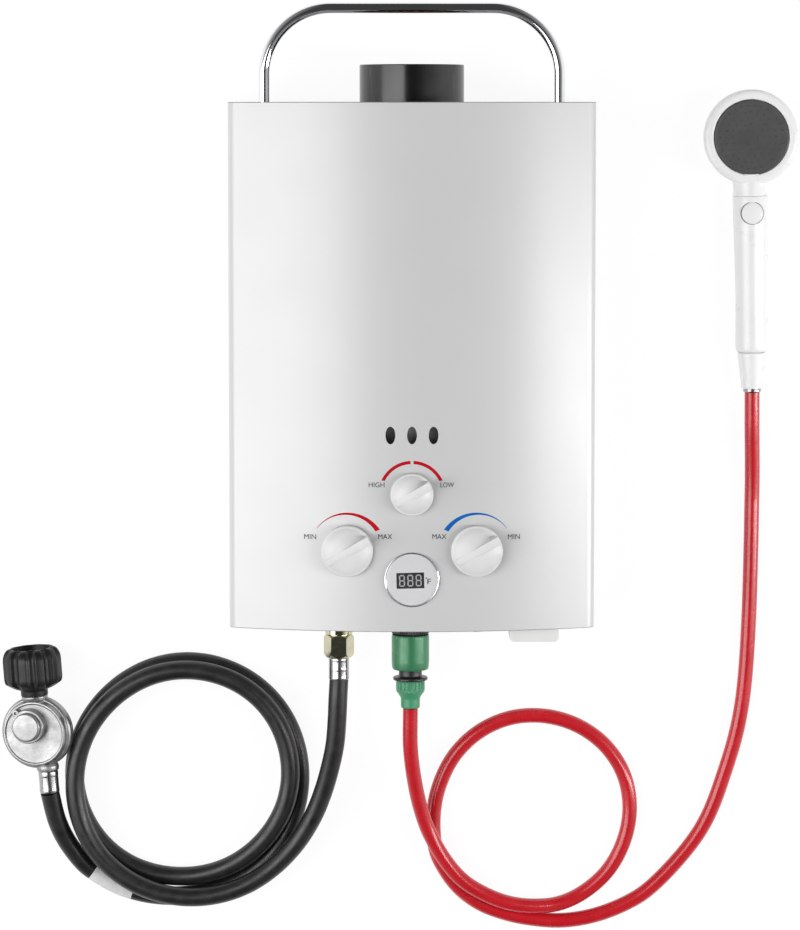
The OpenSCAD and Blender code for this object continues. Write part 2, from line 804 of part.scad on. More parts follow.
module hot_outlet_pipe() {
    color([0.72, 0.45, 0.32])
        tube(curve(hot_route, 2), water_r, 10, [-1, 0, 0], [0, -1, 0]);
    color("goldenrod") difference() {
        union() {
            rod_y(-hot_x, hot_stub_y, floor_over_y + 8, pipe_z, hot_r);
            rod_y(-hot_x, floor_over_y, floor_over_y + 4, pipe_z, hot_r + 4);
        }
        rod_y(-hot_x, hot_stub_y - past, floor_over_y + 4, pipe_z, water_r + 0.5);
    }
}

module igniter_module() {
    half = igniter_w / 2;
    front = sheet_t + igniter_t;
    color([0.15, 0.15, 0.17]) difference() {
        block(-hot_x - half, -hot_x + half, igniter_low_y, igniter_low_y + igniter_h, sheet_t, front);
        block(-hot_x - half + igniter_rim, -hot_x + half - igniter_rim, igniter_low_y + igniter_rim,
            igniter_low_y + igniter_h - igniter_rim, front - 1.5, front + past);
    }
}

module spark_electrode() {
    front = stack_front + 8;
    color("ivory") rod_z(-electrode_x, electrode_y, stack_front - electrode_in, front, electrode_r);
    color("silver") rod_z(-electrode_x, electrode_y, stack_front - electrode_in - 20,
        stack_front - electrode_in, tip_r);
}

module flame_sensor() {
    front = stack_front + 8;
    color("ivory") rod_z(electrode_x, electrode_y, stack_front - electrode_in, front, electrode_r);
    color("silver") rod_z(electrode_x, electrode_y, stack_front - electrode_in - 28,
        stack_front - electrode_in, tip_r);
}

module overheat_sensor() {
    x = 30;
    color("silver") {
        rod_z(x, fins_mid_y, stack_front, stack_front + 4, 8);
        block(x - 12, x + 12, fins_mid_y - 4, fins_mid_y + 4, stack_front, stack_front + 1.5);
    }
}

// ---------------------------------------------------------------- battery box

module battery_box() {
    color([0.2, 0.2, 0.22]) difference() {
        block(battery_x - box_w / 2, battery_x + box_w / 2, box_low_y, box_top_y,
            box_back_z, box_back_z + box_d);
        block(battery_x - cavity_w / 2, battery_x + cavity_w / 2, box_low_y - past,
            box_top_y - box_wall, box_back_z + box_wall, box_back_z + box_d - box_wall);
    }
}

module batteries() {
    for (s = [-1, 1])
        color([0.25, 0.3, 0.35]) {
            z = box_mid_z + s * (cell_r + 0.2);
            rod_y(battery_x, box_low_y + 0.8, box_low_y + 0.8 + cell_h, z, cell_r);
            rod_y(battery_x, box_low_y + 0.8 + cell_h - fuse, box_low_y + 2.6 + cell_h, z, 4.7);
        }
}

module battery_lid() {
    half = lid_w / 2;
    cut = 2.4;
    color([0.93, 0.93, 0.92]) difference() {
        translate([battery_x, 0, lid_back_z])
            linear_extrude(lid_front_z - lid_back_z)
                polygon([
                    [-half, lid_top_y], [half, lid_top_y], [half, lid_top_y - lid_t + cut],
                    [half - cut, lid_top_y - lid_t], [-half + cut, lid_top_y - lid_t],
                    [-half, lid_top_y - lid_t + cut],
                ]);
        for (s = [-1, 1])
            rod_x(battery_x + s * (half - 2) - 3, battery_x + s * (half - 2) + 3, hinge_y, hinge_z,
                hinge_r + hinge_gap);
        // Hollow over the cells' ends
        block(battery_x - half + 1.8, battery_x + half - 1.8, lid_top_y - lid_t + 2.2, lid_top_y + past,
            hinge_z + 5, lid_front_z - 2);
        // Thumb notch under the front edge
        block(battery_x - 8, battery_x + 8, lid_top_y - lid_t - past, lid_top_y - lid_t + 2,
            lid_front_z - 4, lid_front_z + past);
    }
}

// ---------------------------------------------------------------- display

bezel_in = bezel_r - 2.3;

module display_module() {
    color([0.12, 0.12, 0.14]) {
        rod_z(0, display_y, face_z - 20, face_z - 1.2, bezel_in - 0.6);
        block(-24, 24, display_y - 19, display_y + 19, face_z - 23, face_z - 20 + fuse);
    }
}

module display_bezel() {
    color("silver") translate([0, display_y, 0]) rotate_extrude($fn = 96) {
        difference() {
            union() {
                translate([bezel_in - 0.4, face_z + 0.05]) square([bezel_r - bezel_in - 0.2, 1.5]);
                translate([bezel_r - 0.75, face_z + 0.8]) circle(r = 0.75, $fn = 24);
                translate([bezel_in - 0.4, face_z - 10]) square([0.7, 10.5]);
            }
            translate([bezel_in - 0.5, face_z - 1.2]) square([0.5, 10]);
        }
    }
}

module display_lens() {
    color([0.85, 0.85, 0.87]) translate([0, display_y, 0])
        rotate_extrude($fn = 96) {
            translate([0, face_z - 1.2]) square([bezel_in - 0.05, 2]);
        }
}

// ---------------------------------------------------------------- knobs

// A domed disc with a straight grip bar that rises towards its pointer
module knob(r) {
    base_h = 5;
    dome_h = knob_h - 4.5;
    dome_r = (r * r + pow(dome_h - base_h, 2)) / (2 * (dome_h - base_h));
    tail = 0.86 * r;
    difference() {
        union() {
            intersection() {
                cylinder(r = r, h = dome_h, $fn = 96);
                translate([0, 0, dome_h - dome_r]) sphere(r = dome_r, $fn = 96);
            }
            intersection() {
                linear_extrude(knob_h)
                    polygon([
                        [grip_w / 2, r], [-grip_w / 2, r],
                        [-grip_w * 0.4, -tail], [grip_w * 0.4, -tail],
                    ]);
                rotate([90, 0, 90]) translate([0, 0, -grip_w]) linear_extrude(2 * grip_w)
                    polygon([[-tail, 0], [r, 0], [r, knob_h], [-tail, dome_h - 1]]);
                cylinder(r = r - 0.4, h = knob_h, $fn = 96);
            }
        }
        translate([0, 0, -past]) cylinder(r = stem_r + 0.05, h = stem_in + past);
        // Hollow under the skirt
        difference() {
            translate([0, 0, -past]) cylinder(r = r - 1.8, h = 2.2 + past);
            translate([0, 0, -2 * past]) cylinder(r = stem_r + 3, h = 3.2 + 2 * past);
        }
    }
}

module knob_at(x, y, z, r) {
    color("whitesmoke") translate([x, y, z]) rotate([0, 0, -knob_angle]) knob(r);
}

module gas_knob() {
    knob_at(-knob_x, knob_y, knob_z, knob_r);
}
module water_knob() {
    knob_at(knob_x, knob_y, knob_z, knob_r);
}
module mode_knob() {
    knob_at(0, mode_y, mode_knob_z, mode_knob_r);
}

module stem(x, y, end_z) {
    color("silver") rod_z(x, y, stem_low_z + run_gap, end_z, stem_r);
}

module gas_stem() {
    stem(-knob_x, knob_y, knob_z + stem_in);
}
module water_stem() {
    stem(knob_x, knob_y, knob_z + stem_in);
}
module mode_stem() {
    stem(0, mode_y, mode_knob_z + stem_in);
}

// ---------------------------------------------------------------- handle

module handle_bail() {
    bar = handle_x - handle_bend;
    leg = handle_top_y - handle_bend - pivot_y;
    color("silver") difference() {
        union() {
            rod_x(-bar, bar, handle_top_y, handle_z, handle_r);
            for (s = [-1, 1]) {
                rod_y(s * handle_x, pivot_y, pivot_y + leg, handle_z, handle_r);
                translate([s * bar, handle_top_y - handle_bend, handle_z])
                    rotate([0, 0, s > 0 ? 0 : 90]) rotate_extrude(angle = 90, $fn = 96)
                        translate([handle_bend, 0]) circle(r = handle_r, $fn = 48);
                rod_x(s * handle_x - eye_h / 2, s * handle_x + eye_h / 2, pivot_y, handle_z, eye_r);
            }
        }
        for (s = [-1, 1])
            rod_x(s * handle_x - eye_h, s * handle_x + eye_h, pivot_y, handle_z, handle_pin_r + 0.15);
    }
}

module handle_brackets() {
    inner = eye_h / 2 + run_gap;
    outer = inner + ear_t;
    high = pivot_y + 8;
    color("gainsboro")
        for (s = [-1, 1]) {
            x = s * handle_x;
            difference() {
                union() {
                    block(x - outer, x + outer, top_y, top_y + bracket_t, handle_z - 12, handle_z + 12);
                    for (e = [-1, 1])
                        block(x + e * (inner + ear_t / 2) - ear_t / 2,
                            x + e * (inner + ear_t / 2) + ear_t / 2,
                            top_y, high, handle_z - 9, handle_z + 7);
                    // Stop behind the leg
                    block(x - outer, x + outer, high - 2.2, high, handle_z - 9, stop_z);
                }
                rod_x(x - outer - past, x + outer + past, pivot_y, handle_z, handle_pin_r + 0.05);
            }
        }
}

module handle_pins() {
    outer = eye_h / 2 + run_gap + ear_t;
    color("silver")
        for (s = [-1, 1]) {
            rod_x(s * handle_x - outer - 0.8, s * handle_x + outer + 0.8, pivot_y, handle_z, handle_pin_r);
            rod_x(s * handle_x + (s > 0 ? outer : -outer - 1.6), s * handle_x + (s > 0 ? outer + 1.6 : -outer),
                pivot_y, handle_z, handle_pin_r + 1.6);
        }
}

// ---------------------------------------------------------------- gas line

module gas_nut() {
    h = gas_nut_top_y - gas_nut_low_y;
    cut = 3;
    color([0.72, 0.68, 0.5]) along_y(-gas_x, gas_nut_low_y, pipe_z) difference() {
        intersection() {
            cylinder(r = gas_nut_r, h = h, $fn = 6);
            rotate_extrude($fn = 64) polygon([
                [0, 0], [gas_nut_r - cut + 0.8, 0], [gas_nut_r + 0.2, cut],
                [gas_nut_r + 0.2, h - cut / 2], [gas_nut_r - cut / 2 + 0.8, h], [0, h],
            ]);
        }
        translate([0, 0, gas_stub_y - gas_nut_low_y - 0.3]) cylinder(r = gas_stub_r + 0.1, h = h);
        translate([0, 0, -past]) cylinder(r = 4.5, h = h);
    }
}

// A crimped sleeve, grooved round, with its base at z = 0
module ferrule(r, h, grooves) {
    step = h / (grooves + 1);
    rotate_extrude($fn = 64) difference() {
        translate([4.5, 0]) square([r - 4.5, h]);
        for (k = [1 : grooves])
            translate([r + 0.2, k * step]) circle(r = 0.8, $fn = 16);
    }
}

module gas_ferrule() {
    color("silver") along_y(-gas_x, gas_ferrule_low_y, pipe_z)
        ferrule(gas_ferrule_r, gas_nut_low_y - gas_ferrule_low_y, 3);
}

// The gas hose lies in two loose turns beside the case. Its middle follows these stations round
// the coil's centre, one every eighth of a turn from just before the near edge: [radius, height].
coil_centre = [-190, -348];
coil_first = -0.125;
coil_stations = [
    [105, 25], [98.5, 24.3], [93.6, 24.3], [88.5, 24.4], [88, 24.4], [91.5, 24.3], [93.2, 24],
    [89.5, 22.8], [84.5, 18], [84.6, 9], [88, 8], [90.3, 8], [91.6, 8], [96, 8],
    [97.9, 8], [97.4, 8], [98.8, 8], [101, 8], [110.1, 9],
];
coil_rings = 3;

// Stations with one more at each end, so that the ends keep their direction
coil_knots = let (s = coil_stations, n = len(s))
    concat([2 * s[0] - s[1]], s, [2 * s[n - 1] - s[n - 2]]);
// Point of the coil at a step, counted in eighths of a turn from its first station
function coil_at(x) =
    let (i = min(max(floor(x), 0), len(coil_stations) - 2), k = coil_knots,
        q = curve_at(k[i], k[i + 1], k[i + 2], k[i + 3], x - i),
        a = -90 - 360 * coil_first - 45 * x)
    [coil_centre[0] + q[0] * cos(a), coil_centre[1] + q[0] * sin(a), q[1]];
coil_end = len(coil_stations) - 1;
coil_path = [for (k = [0 : coil_end * coil_rings]) coil_at(k / coil_rings)];

// From the ferrule to the coil, and from the coil to the regulator
gas_lead_route = [
    [-gas_x, gas_ferrule_low_y, pipe_z],
    [-60.3, -275, 45], [-61.2, -295, 43.5], [-62.9, -315.2, 41],
    [-67.1, -335.9, 37], [-73, -356.7, 33], [-81.5, -378, 29.5],
    [-95.4, -400.8, 26.8],
];
reg_side = reg_out_x * cos(reg_roll);
reg_exit = [
    reg_x + reg_side * cos(reg_turn) - (reg_ferrule_y - reg_ferrule_h) * sin(reg_turn),
    reg_y + reg_side * sin(reg_turn) + (reg_ferrule_y - reg_ferrule_h) * cos(reg_turn),
    axis_z + reg_out_x * sin(reg_roll),
];
reg_out = [sin(reg_turn), -cos(reg_turn), 0];
gas_tail_route = [[-275, -418.5, 11], [-286.8, -400.8, 15], [-294, -382.8, 20.5], reg_exit];
gas_lead_path = concat(gas_lead_route, [coil_path[0]]);
gas_tail_path = concat([coil_path[len(coil_path) - 1]], gas_tail_route);
coil_start_way = unit(coil_at(0.2) - coil_at(0));
coil_end_way = unit(coil_at(coil_end) - coil_at(coil_end - 0.2));
hose_sides = 10;
rubber = [0.09, 0.09, 0.1];

module gas_hose_lead() {
    color(rubber) tube(gas_lead_path, gas_hose_r, hose_sides, [0, -1, 0], coil_start_way);
}
module gas_hose_coil() {
    color(rubber) tube(coil_path, gas_hose_r, hose_sides, coil_start_way, coil_end_way);
}
module gas_hose_tail() {
    color(rubber) tube(gas_tail_path, gas_hose_r, hose_sides, coil_end_way, -reg_out);
}

// ---------------------------------------------------------------- regulator

module on_regulator() {
    translate([reg_x, reg_y, axis_z]) rotate([0, 0, reg_turn]) rotate([0, -reg_roll, 0]) children();
}

module regulator_ferrule() {
    color("silver") on_regulator()
        along_y(reg_out_x, reg_ferrule_y - reg_ferrule_h, 0) ferrule(reg_ferrule_r, reg_ferrule_h, 2);
}

module regulator_body() {
    color([0.75, 0.76, 0.78]) on_regulator() difference() {
        union() {
            rotate_extrude($fn = 96) polygon([
                [0, reg_low], [reg_low_r, reg_low], [reg_waist_r, reg_low + 4],
                [reg_r - 3, reg_split - reg_flange_t], [reg_r, reg_split - reg_flange_t + 0.6],
                [reg_r, reg_split], [0, reg_split],
            ]);
            rod_y(0, reg_r - 8, reg_neck_y, 0, neck_r_reg);
            rod_y(reg_out_x, reg_ferrule_y, -reg_r + 8, 0, reg_boss_r);
        }
        rod_z(0, 0, reg_split + 0.05, reg_r, reg_r + 0.2);
        rod_y(0, reg_neck_y - 8, reg_neck_y + past, 0, 4.5);
        rod_y(reg_out_x, reg_ferrule_y - past, reg_ferrule_y + 2, 0, 4.5);
    }
}

module regulator_cover() {
    flange = reg_split + reg_flange_t;
    color([0.8, 0.81, 0.83]) on_regulator() difference() {
        union() {
            rotate_extrude($fn = 96) polygon([
                [0, reg_split + 0.1], [reg_r, reg_split + 0.1],
                [reg_r, flange], [reg_r - 1.6, flange + 0.8],
                [reg_face_r + 0.6, flange + 1], [reg_face_r, reg_face - 0.6], [reg_face_r - 0.6, reg_face],
                [reg_face_r - reg_rim_t, reg_face], [reg_face_r - reg_rim_t - 0.6, reg_face - reg_dish],
                [0, reg_face - reg_dish],
            ]);
            rod_z(hub_x, hub_y, flange, hub_top, hub_r);
            rod_z(vent_x, vent_y, flange, hub_top - 3, vent_r);
        }
        rod_z(hub_x, hub_y, hub_top - 5, hub_top + past, cap_stem_r + 0.2);
    }
}

module regulator_cap() {
    color([0.85, 0.86, 0.88]) on_regulator() translate([hub_x, hub_y, 0])
        rotate_extrude($fn = 64) polygon([
            [0, hub_top - 4.5], [cap_stem_r, hub_top - 4.5], [cap_stem_r, hub_top],
            [cap_r, hub_top], [cap_r, hub_top + cap_h - 1.2], [cap_r - 1.4, hub_top + cap_h],
            [0, hub_top + cap_h],
        ]);
}

// Depth of the wheel's rear web, measured from the nipple's base
wheel_back_h = 16;

module tank_nipple() {
    low = reg_neck_y;
    end = wheel_y + wheel_h - thread_h - 1;
    color("goldenrod") on_regulator() along_y(0, low, 0) difference() {
        rotate_extrude($fn = 64) polygon([
            [0, 0], [neck_wheel_r, 0], [neck_wheel_r, wheel_back_h], [tank_thread_r - 1.2, wheel_back_h],
            [tank_thread_r - 1.2, wheel_back_h + 3], [neck_wheel_r - 2, wheel_back_h + 4],
            [neck_wheel_r - 2, end - low - 2], [neck_wheel_r - 4, end - low], [0, end - low],
        ]);
        translate([0, 0, -past]) cylinder(r = 3, h = wheel_h);
    }
}

module tank_handwheel() {
    top = wheel_h;
    web = wheel_back_h - 2 * run_gap;
    color([0.07, 0.07, 0.08]) on_regulator() along_y(0, wheel_y, 0) difference() {
        rotate_extrude($fn = 96) polygon([
            [0, 0], [wheel_neck_r, 0], [wheel_neck_r, wheel_neck_h], [wheel_r - 9, wheel_neck_h + 0.6],
            [wheel_r - 1, wheel_neck_h + 5], [wheel_r, wheel_neck_h + 9], [wheel_r, top - 10],
            [wheel_r - 1, top - 5], [wheel_r - 4, top - 1], [wheel_r - 6, top], [0, top],
        ]);
        for (k = [0 : flute_count - 1])
            rotate([0, 0, 360 * (k + 0.5) / flute_count]) translate([wheel_r + 1.4, 0, wheel_neck_h])
                cylinder(r = flute_r, h = wheel_h, $fn = 24);
        translate([0, 0, -past]) cylinder(r = neck_wheel_r + run_gap, h = wheel_h);
        translate([0, 0, web]) cylinder(r = tank_thread_r + 0.6, h = top - thread_h - web);
        translate([0, 0, top - thread_h - past]) cylinder(r = tank_thread_r, h = wheel_h);
    }
}

// ---------------------------------------------------------------- quick connector

module outlet_adapter() {
    knurls = 40;
    color([0.1, 0.1, 0.11]) along_y(-hot_x, adapter_low_y, pipe_z) difference() {
        union() {
            linear_extrude(adapter_top_y - adapter_low_y)
                polygon([
                    for (k = [0 : 2 * knurls - 1])
                        (sleeve_r - (k % 2 == 0 ? 0.2 : 0.9)) * [cos(180 * k / knurls), sin(180 * k / knurls)]
                ]);
            translate([0, 0, -15]) cylinder(r = nipple_r, h = 16);
        }
        translate([0, 0, hot_stub_y - adapter_low_y - 0.2]) cylinder(r = hot_r + 0.1, h = 20);
        translate([0, 0, -15 - past]) cylinder(r = 5, h = 30);
    }
}

module connector_sleeve() {
    h = adapter_low_y - run_gap - sleeve_low_y;
    grooves = 3;
    color([0.2, 0.55, 0.38]) along_y(-hot_x, sleeve_low_y, pipe_z) rotate_extrude($fn = 96) difference() {
        translate([connector_r + run_gap, 0]) square([sleeve_r - connector_r - run_gap, h]);
        for (k = [0 : grooves - 1])
            translate([sleeve_r + 0.35, h / 2 - 4 + 4 * k]) circle(r = 0.8, $fn = 16);
    }
}

module connector_body() {
    color([0.1, 0.1, 0.11]) along_y(-hot_x, ring_low_y, pipe_z) difference() {
        union() {
            cylinder(r = ring_r, h = ring_t);
            cylinder(r = waist_r, h = sleeve_low_y - ring_low_y + 2);
            translate([0, 0, sleeve_low_y - ring_low_y + 1])
                cylinder(r = connector_r, h = adapter_low_y - 3 - sleeve_low_y);
            translate([0, 0, connector_nut_y - ring_low_y + 2]) cylinder(r = 8.5, h = 12);
        }
        translate([0, 0, adapter_low_y - 16 - ring_low_y]) cylinder(r = nipple_r + 0.2, h = 40);
        translate([0, 0, -20]) cylinder(r = 5, h = 60);
    }
}

module connector_nut() {
    ribs = 24;
    h = ring_low_y - 0.2 - connector_nut_y;
    color([0.3, 0.68, 0.48]) along_y(-hot_x, connector_nut_y, pipe_z) difference() {
        union() {
            linear_extrude(h)
                polygon([
                    for (k = [0 : 2 * ribs - 1])
                        (rib_nut_r - (k % 2 == 0 ? 0 : 0.9)) * [cos(180 * k / ribs), sin(180 * k / ribs)]
                ]);
            rotate_extrude($fn = 64) polygon([
                [0, hose_exit_y - connector_nut_y], [neck_r, hose_exit_y - connector_nut_y],
                [neck_r, -neck_taper], [rib_nut_r - 1.3, 0], [rib_nut_r - 1.3, fuse], [0, fuse],
            ]);
        }
        translate([0, 0, 1.8]) cylinder(r = 8.6, h = 20);
        translate([0, 0, -20]) cylinder(r = 4.5, h = 40);
    }
}

// ---------------------------------------------------------------- shower hose

floor_hose_z = shower_hose_r + 0.2;
shower_route = [
    [-hot_x, hose_exit_y, pipe_z],
    [-0.9, -318.6, 41], [2.9, -350.4, 31.5], [7.5, -371.8, 25.3],
    [14.6, -392.9, 20.8], [28.6, -417.9, 18.9], [43, -434.4, 18],
    [61, -446, 16.6], [80.4, -453.6, 15.9], [100.9, -456.9, 13],
    [121.8, -456, 8.6], [141.1, -448.3, floor_hose_z], [162.9, -429.5, floor_hose_z],
    [176.7, -404.4, floor_hose_z], [181.9, -376.3, floor_hose_z], [177, -347.8, floor_hose_z],
    [161.6, -323.3, floor_hose_z], [138.4, -306.1, floor_hose_z], [111, -298, floor_hose_z],
    [82.4, -299.5, floor_hose_z], [56.2, -311.2, floor_hose_z], [35.7, -331.2, floor_hose_z],
    [23, -357.1, floor_hose_z], [18.4, -381.5, floor_hose_z], [20.1, -409.4, floor_hose_z],
    [25.3, -422.6, floor_hose_z], [38.6, -441.7, floor_hose_z], [56.9, -455.9, floor_hose_z],
    [78.4, -464.4, floor_hose_z], [101.2, -469.1, floor_hose_z], [125.6, -470.6, floor_hose_z],
    [151.5, -466.6, floor_hose_z], [178.3, -456.4, floor_hose_z], [199, -443, floor_hose_z],
    [240.5, -394.5, floor_hose_z], [261, -344, floor_hose_z], [275, -285, floor_hose_z],
    [281.5, -115, floor_hose_z], [280.4, -54, 13],
    [set_x, set_y, set_z],
];
set_way = [-sin(set_turn), cos(set_turn), 0];

module shower_hose() {
    color([0.75, 0.06, 0.1]) tube(shower_route, shower_hose_r, hose_sides, [0, -1, 0], set_way);
}

// ---------------------------------------------------------------- handset

module on_handset() {
    translate([set_x, set_y, 0]) rotate([0, 0, set_turn]) children();
}

module hose_crimp() {
    color("silver") on_handset() along_y(0, 0, set_z) ferrule(crimp_r, crimp_h, 3);
}

module handset_nut() {
    color("white") on_handset() along_y(0, set_nut_y, set_z) difference() {
        cylinder(r1 = 8.8, r2 = 11.8, h = set_nut_h);
        translate([0, 0, -past]) cylinder(r = crimp_r + 0.1, h = 20);
        translate([0, 0, set_nut_h - 16]) cylinder(r = 9.1, h = 20);
    }
}

module handset_body() {
    color("white") on_handset() difference() {
        union() {
            along_y(0, stick_y, set_z) cylinder(r1 = stick_low_r, r2 = stick_r, h = stick_h);
            rod_y(0, stick_y - 15.5, stick_y + past, set_z, 9);
        }
        rod_y(0, stick_y - 16, stick_y + stick_h + past, set_z, 4);
        rod_z(0, button_y, button_low_z - button_travel - 0.5, 60, button_r + run_gap);
        rod_z(0, button_y, set_z, 60, 2.3);
    }
}

module handset_button() {
    dome = 0.9;
    ball = (button_r * button_r + dome * dome) / (2 * dome);
    color([0.95, 0.95, 0.95]) on_handset() translate([0, button_y, 0]) {
        intersection() {
            translate([0, 0, button_low_z]) cylinder(r = button_r, h = button_top_z - button_low_z, $fn = 64);
            translate([0, 0, button_top_z - ball]) sphere(r = ball, $fn = 128);
        }
        translate([0, 0, button_low_z - 4]) cylinder(r = 2, h = 4 + fuse);
    }
}

module handset_head() {
    low_z = 1;
    high_z = low_z + head_h;
    color("white") on_handset() difference() {
        union() {
            translate([0, head_y, 0]) rotate_extrude($fn = 96) polygon([
                [0, low_z], [20, low_z], [30, low_z + 3], [36, low_z + 9], [head_r, low_z + 17],
                [head_r, high_z - 4], [head_r - 1, high_z - 1.2], [head_r - 3, high_z], [0, high_z],
            ]);
            rod_y(0, stick_y + stick_h + 0.3, head_y - 28, set_z, stick_r);
        }
        rod_z(0, head_y, high_z - 4, high_z + past, plate_r + 0.4);
        rod_y(0, stick_y + stick_h - past, head_y - 20, set_z, 4);
    }
}

module spray_plate() {
    high_z = 1 + head_h;
    rings = [[6, 8], [12, 15], [18, 22], [24, 27.5]];
    color([0.2, 0.2, 0.21]) on_handset() translate([0, head_y, 0]) difference() {
        rod_z(0, 0, high_z - 4, high_z + 0.6, plate_r);
        for (row = rings)
            for (k = [0 : row[0] - 1])
                rotate([0, 0, 360 * k / row[0]]) rod_z(row[1], 0, high_z - 4 - past, high_z + past, 0.5);
    }
}

// Least gaps of the two hoses to themselves, in millimetres
echo(gas_hose_gap = least_gap(concat(gas_lead_path, coil_path, gas_tail_path), 10) - 2 * gas_hose_r);
echo(shower_hose_gap = least_gap(curve(concat([[-hot_x, hose_exit_y + 30, pipe_z]], shower_route,
    [[set_x, set_y + 30, set_z]]), 6), 60) - 2 * shower_hose_r);

back_plate();
front_cover();
top_panel();
bottom_panel();
cover_screws();
flue_collar();
flue_hood();
heat_exchanger();
combustion_chamber();
burner();
gas_manifold();
section_valve();
gas_valve();
water_valve();
micro_switch();
gas_inlet_pipe();
cold_inlet_pipe();
feed_pipe();
hot_outlet_pipe();
igniter_module();
spark_electrode();
flame_sensor();
overheat_sensor();
battery_box();
batteries();
battery_lid();
display_module();
display_bezel();
display_lens();
gas_knob();
water_knob();
mode_knob();
gas_stem();
water_stem();
mode_stem();
handle_bail();
handle_brackets();
handle_pins();
gas_nut();
gas_ferrule();
gas_hose_lead();
gas_hose_coil();
gas_hose_tail();
regulator_ferrule();
regulator_body();
regulator_cover();
regulator_cap();
tank_nipple();
tank_handwheel();
outlet_adapter();
connector_sleeve();
connector_body();
connector_nut();
shower_hose();
hose_crimp();
handset_nut();
handset_body();
handset_head();
spray_plate();
handset_button();
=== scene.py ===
import bpy
import bmesh
import json
import math
from mathutils import Matrix, Vector


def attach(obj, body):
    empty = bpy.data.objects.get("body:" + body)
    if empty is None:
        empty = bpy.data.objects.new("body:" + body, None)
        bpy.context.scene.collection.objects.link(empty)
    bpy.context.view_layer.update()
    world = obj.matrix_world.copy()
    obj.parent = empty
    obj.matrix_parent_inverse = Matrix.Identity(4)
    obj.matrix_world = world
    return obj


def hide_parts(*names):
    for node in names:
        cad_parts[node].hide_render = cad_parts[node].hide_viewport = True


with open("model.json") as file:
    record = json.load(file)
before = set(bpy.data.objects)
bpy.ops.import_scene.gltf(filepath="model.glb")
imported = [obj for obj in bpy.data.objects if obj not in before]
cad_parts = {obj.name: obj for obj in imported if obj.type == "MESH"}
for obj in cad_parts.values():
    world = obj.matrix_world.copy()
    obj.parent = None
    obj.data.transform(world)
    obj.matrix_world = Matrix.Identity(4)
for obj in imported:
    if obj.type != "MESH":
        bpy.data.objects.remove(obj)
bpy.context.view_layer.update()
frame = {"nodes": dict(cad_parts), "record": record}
cos, sin, pi, sqrt, rad = math.cos, math.sin, math.pi, math.sqrt, math.radians
MM = 0.001

# ------------------------------------------------------------------ sizes, in millimetres, as in the CAD part
CASE_W, CASE_D, FRONT_R, CORNER_R, SHEET = 293.0, 124.0, 430.0, 10.0, 1.2
RIM, EDGE, TOP = 210.0, -210.0, 194.0
BIG_Z = CASE_D - FRONT_R
FILLET_X = CASE_W / 2 - CORNER_R
FILLET_Z = BIG_Z + sqrt((FRONT_R - CORNER_R) ** 2 - FILLET_X ** 2)
BOW_TURN = math.atan2(FILLET_X, FILLET_Z - BIG_Z)
KNOB_X, KNOB_Y, MODE_Y, SHOW_Y = 51.5, -145.0, -99.7, -168.0
KNOB_Z = BIG_Z + sqrt(FRONT_R ** 2 - (KNOB_X - 20.5) ** 2) + 0.6
MODE_Z = CASE_D + 0.6
VIEW_Y, VIEW_PITCH, VIEW_W, VIEW_H = -53.0, 17.1, 7.8, 14.0
PIPE_Z, GAS_X, HOT_X = 45.0, -59.5, -1.0
GAS_R, SHOWER_R = 7.8, 6.2
SET_X, SET_Y, SET_TURN, SET_Z = 280.0, -27.0, 0.93, 15.0
REG = (-309.0, -308.0, 24.4)
REG_TURN, REG_ROLL = 4.0, 14.0
REG_OUT_X, REG_OUT_Y, REG_OUT_H = 6.5, -32.4, 18.4


def bow(x):
    return BIG_Z + sqrt(FRONT_R ** 2 - x * x)


# ------------------------------------------------------------------ materials
def node(nt, kind):
    return nt.nodes.new("ShaderNode" + kind)


def fresh_tree(owner, output):
    owner.use_nodes = True
    owner.node_tree.nodes.clear()
    return owner.node_tree, node(owner.node_tree, output)


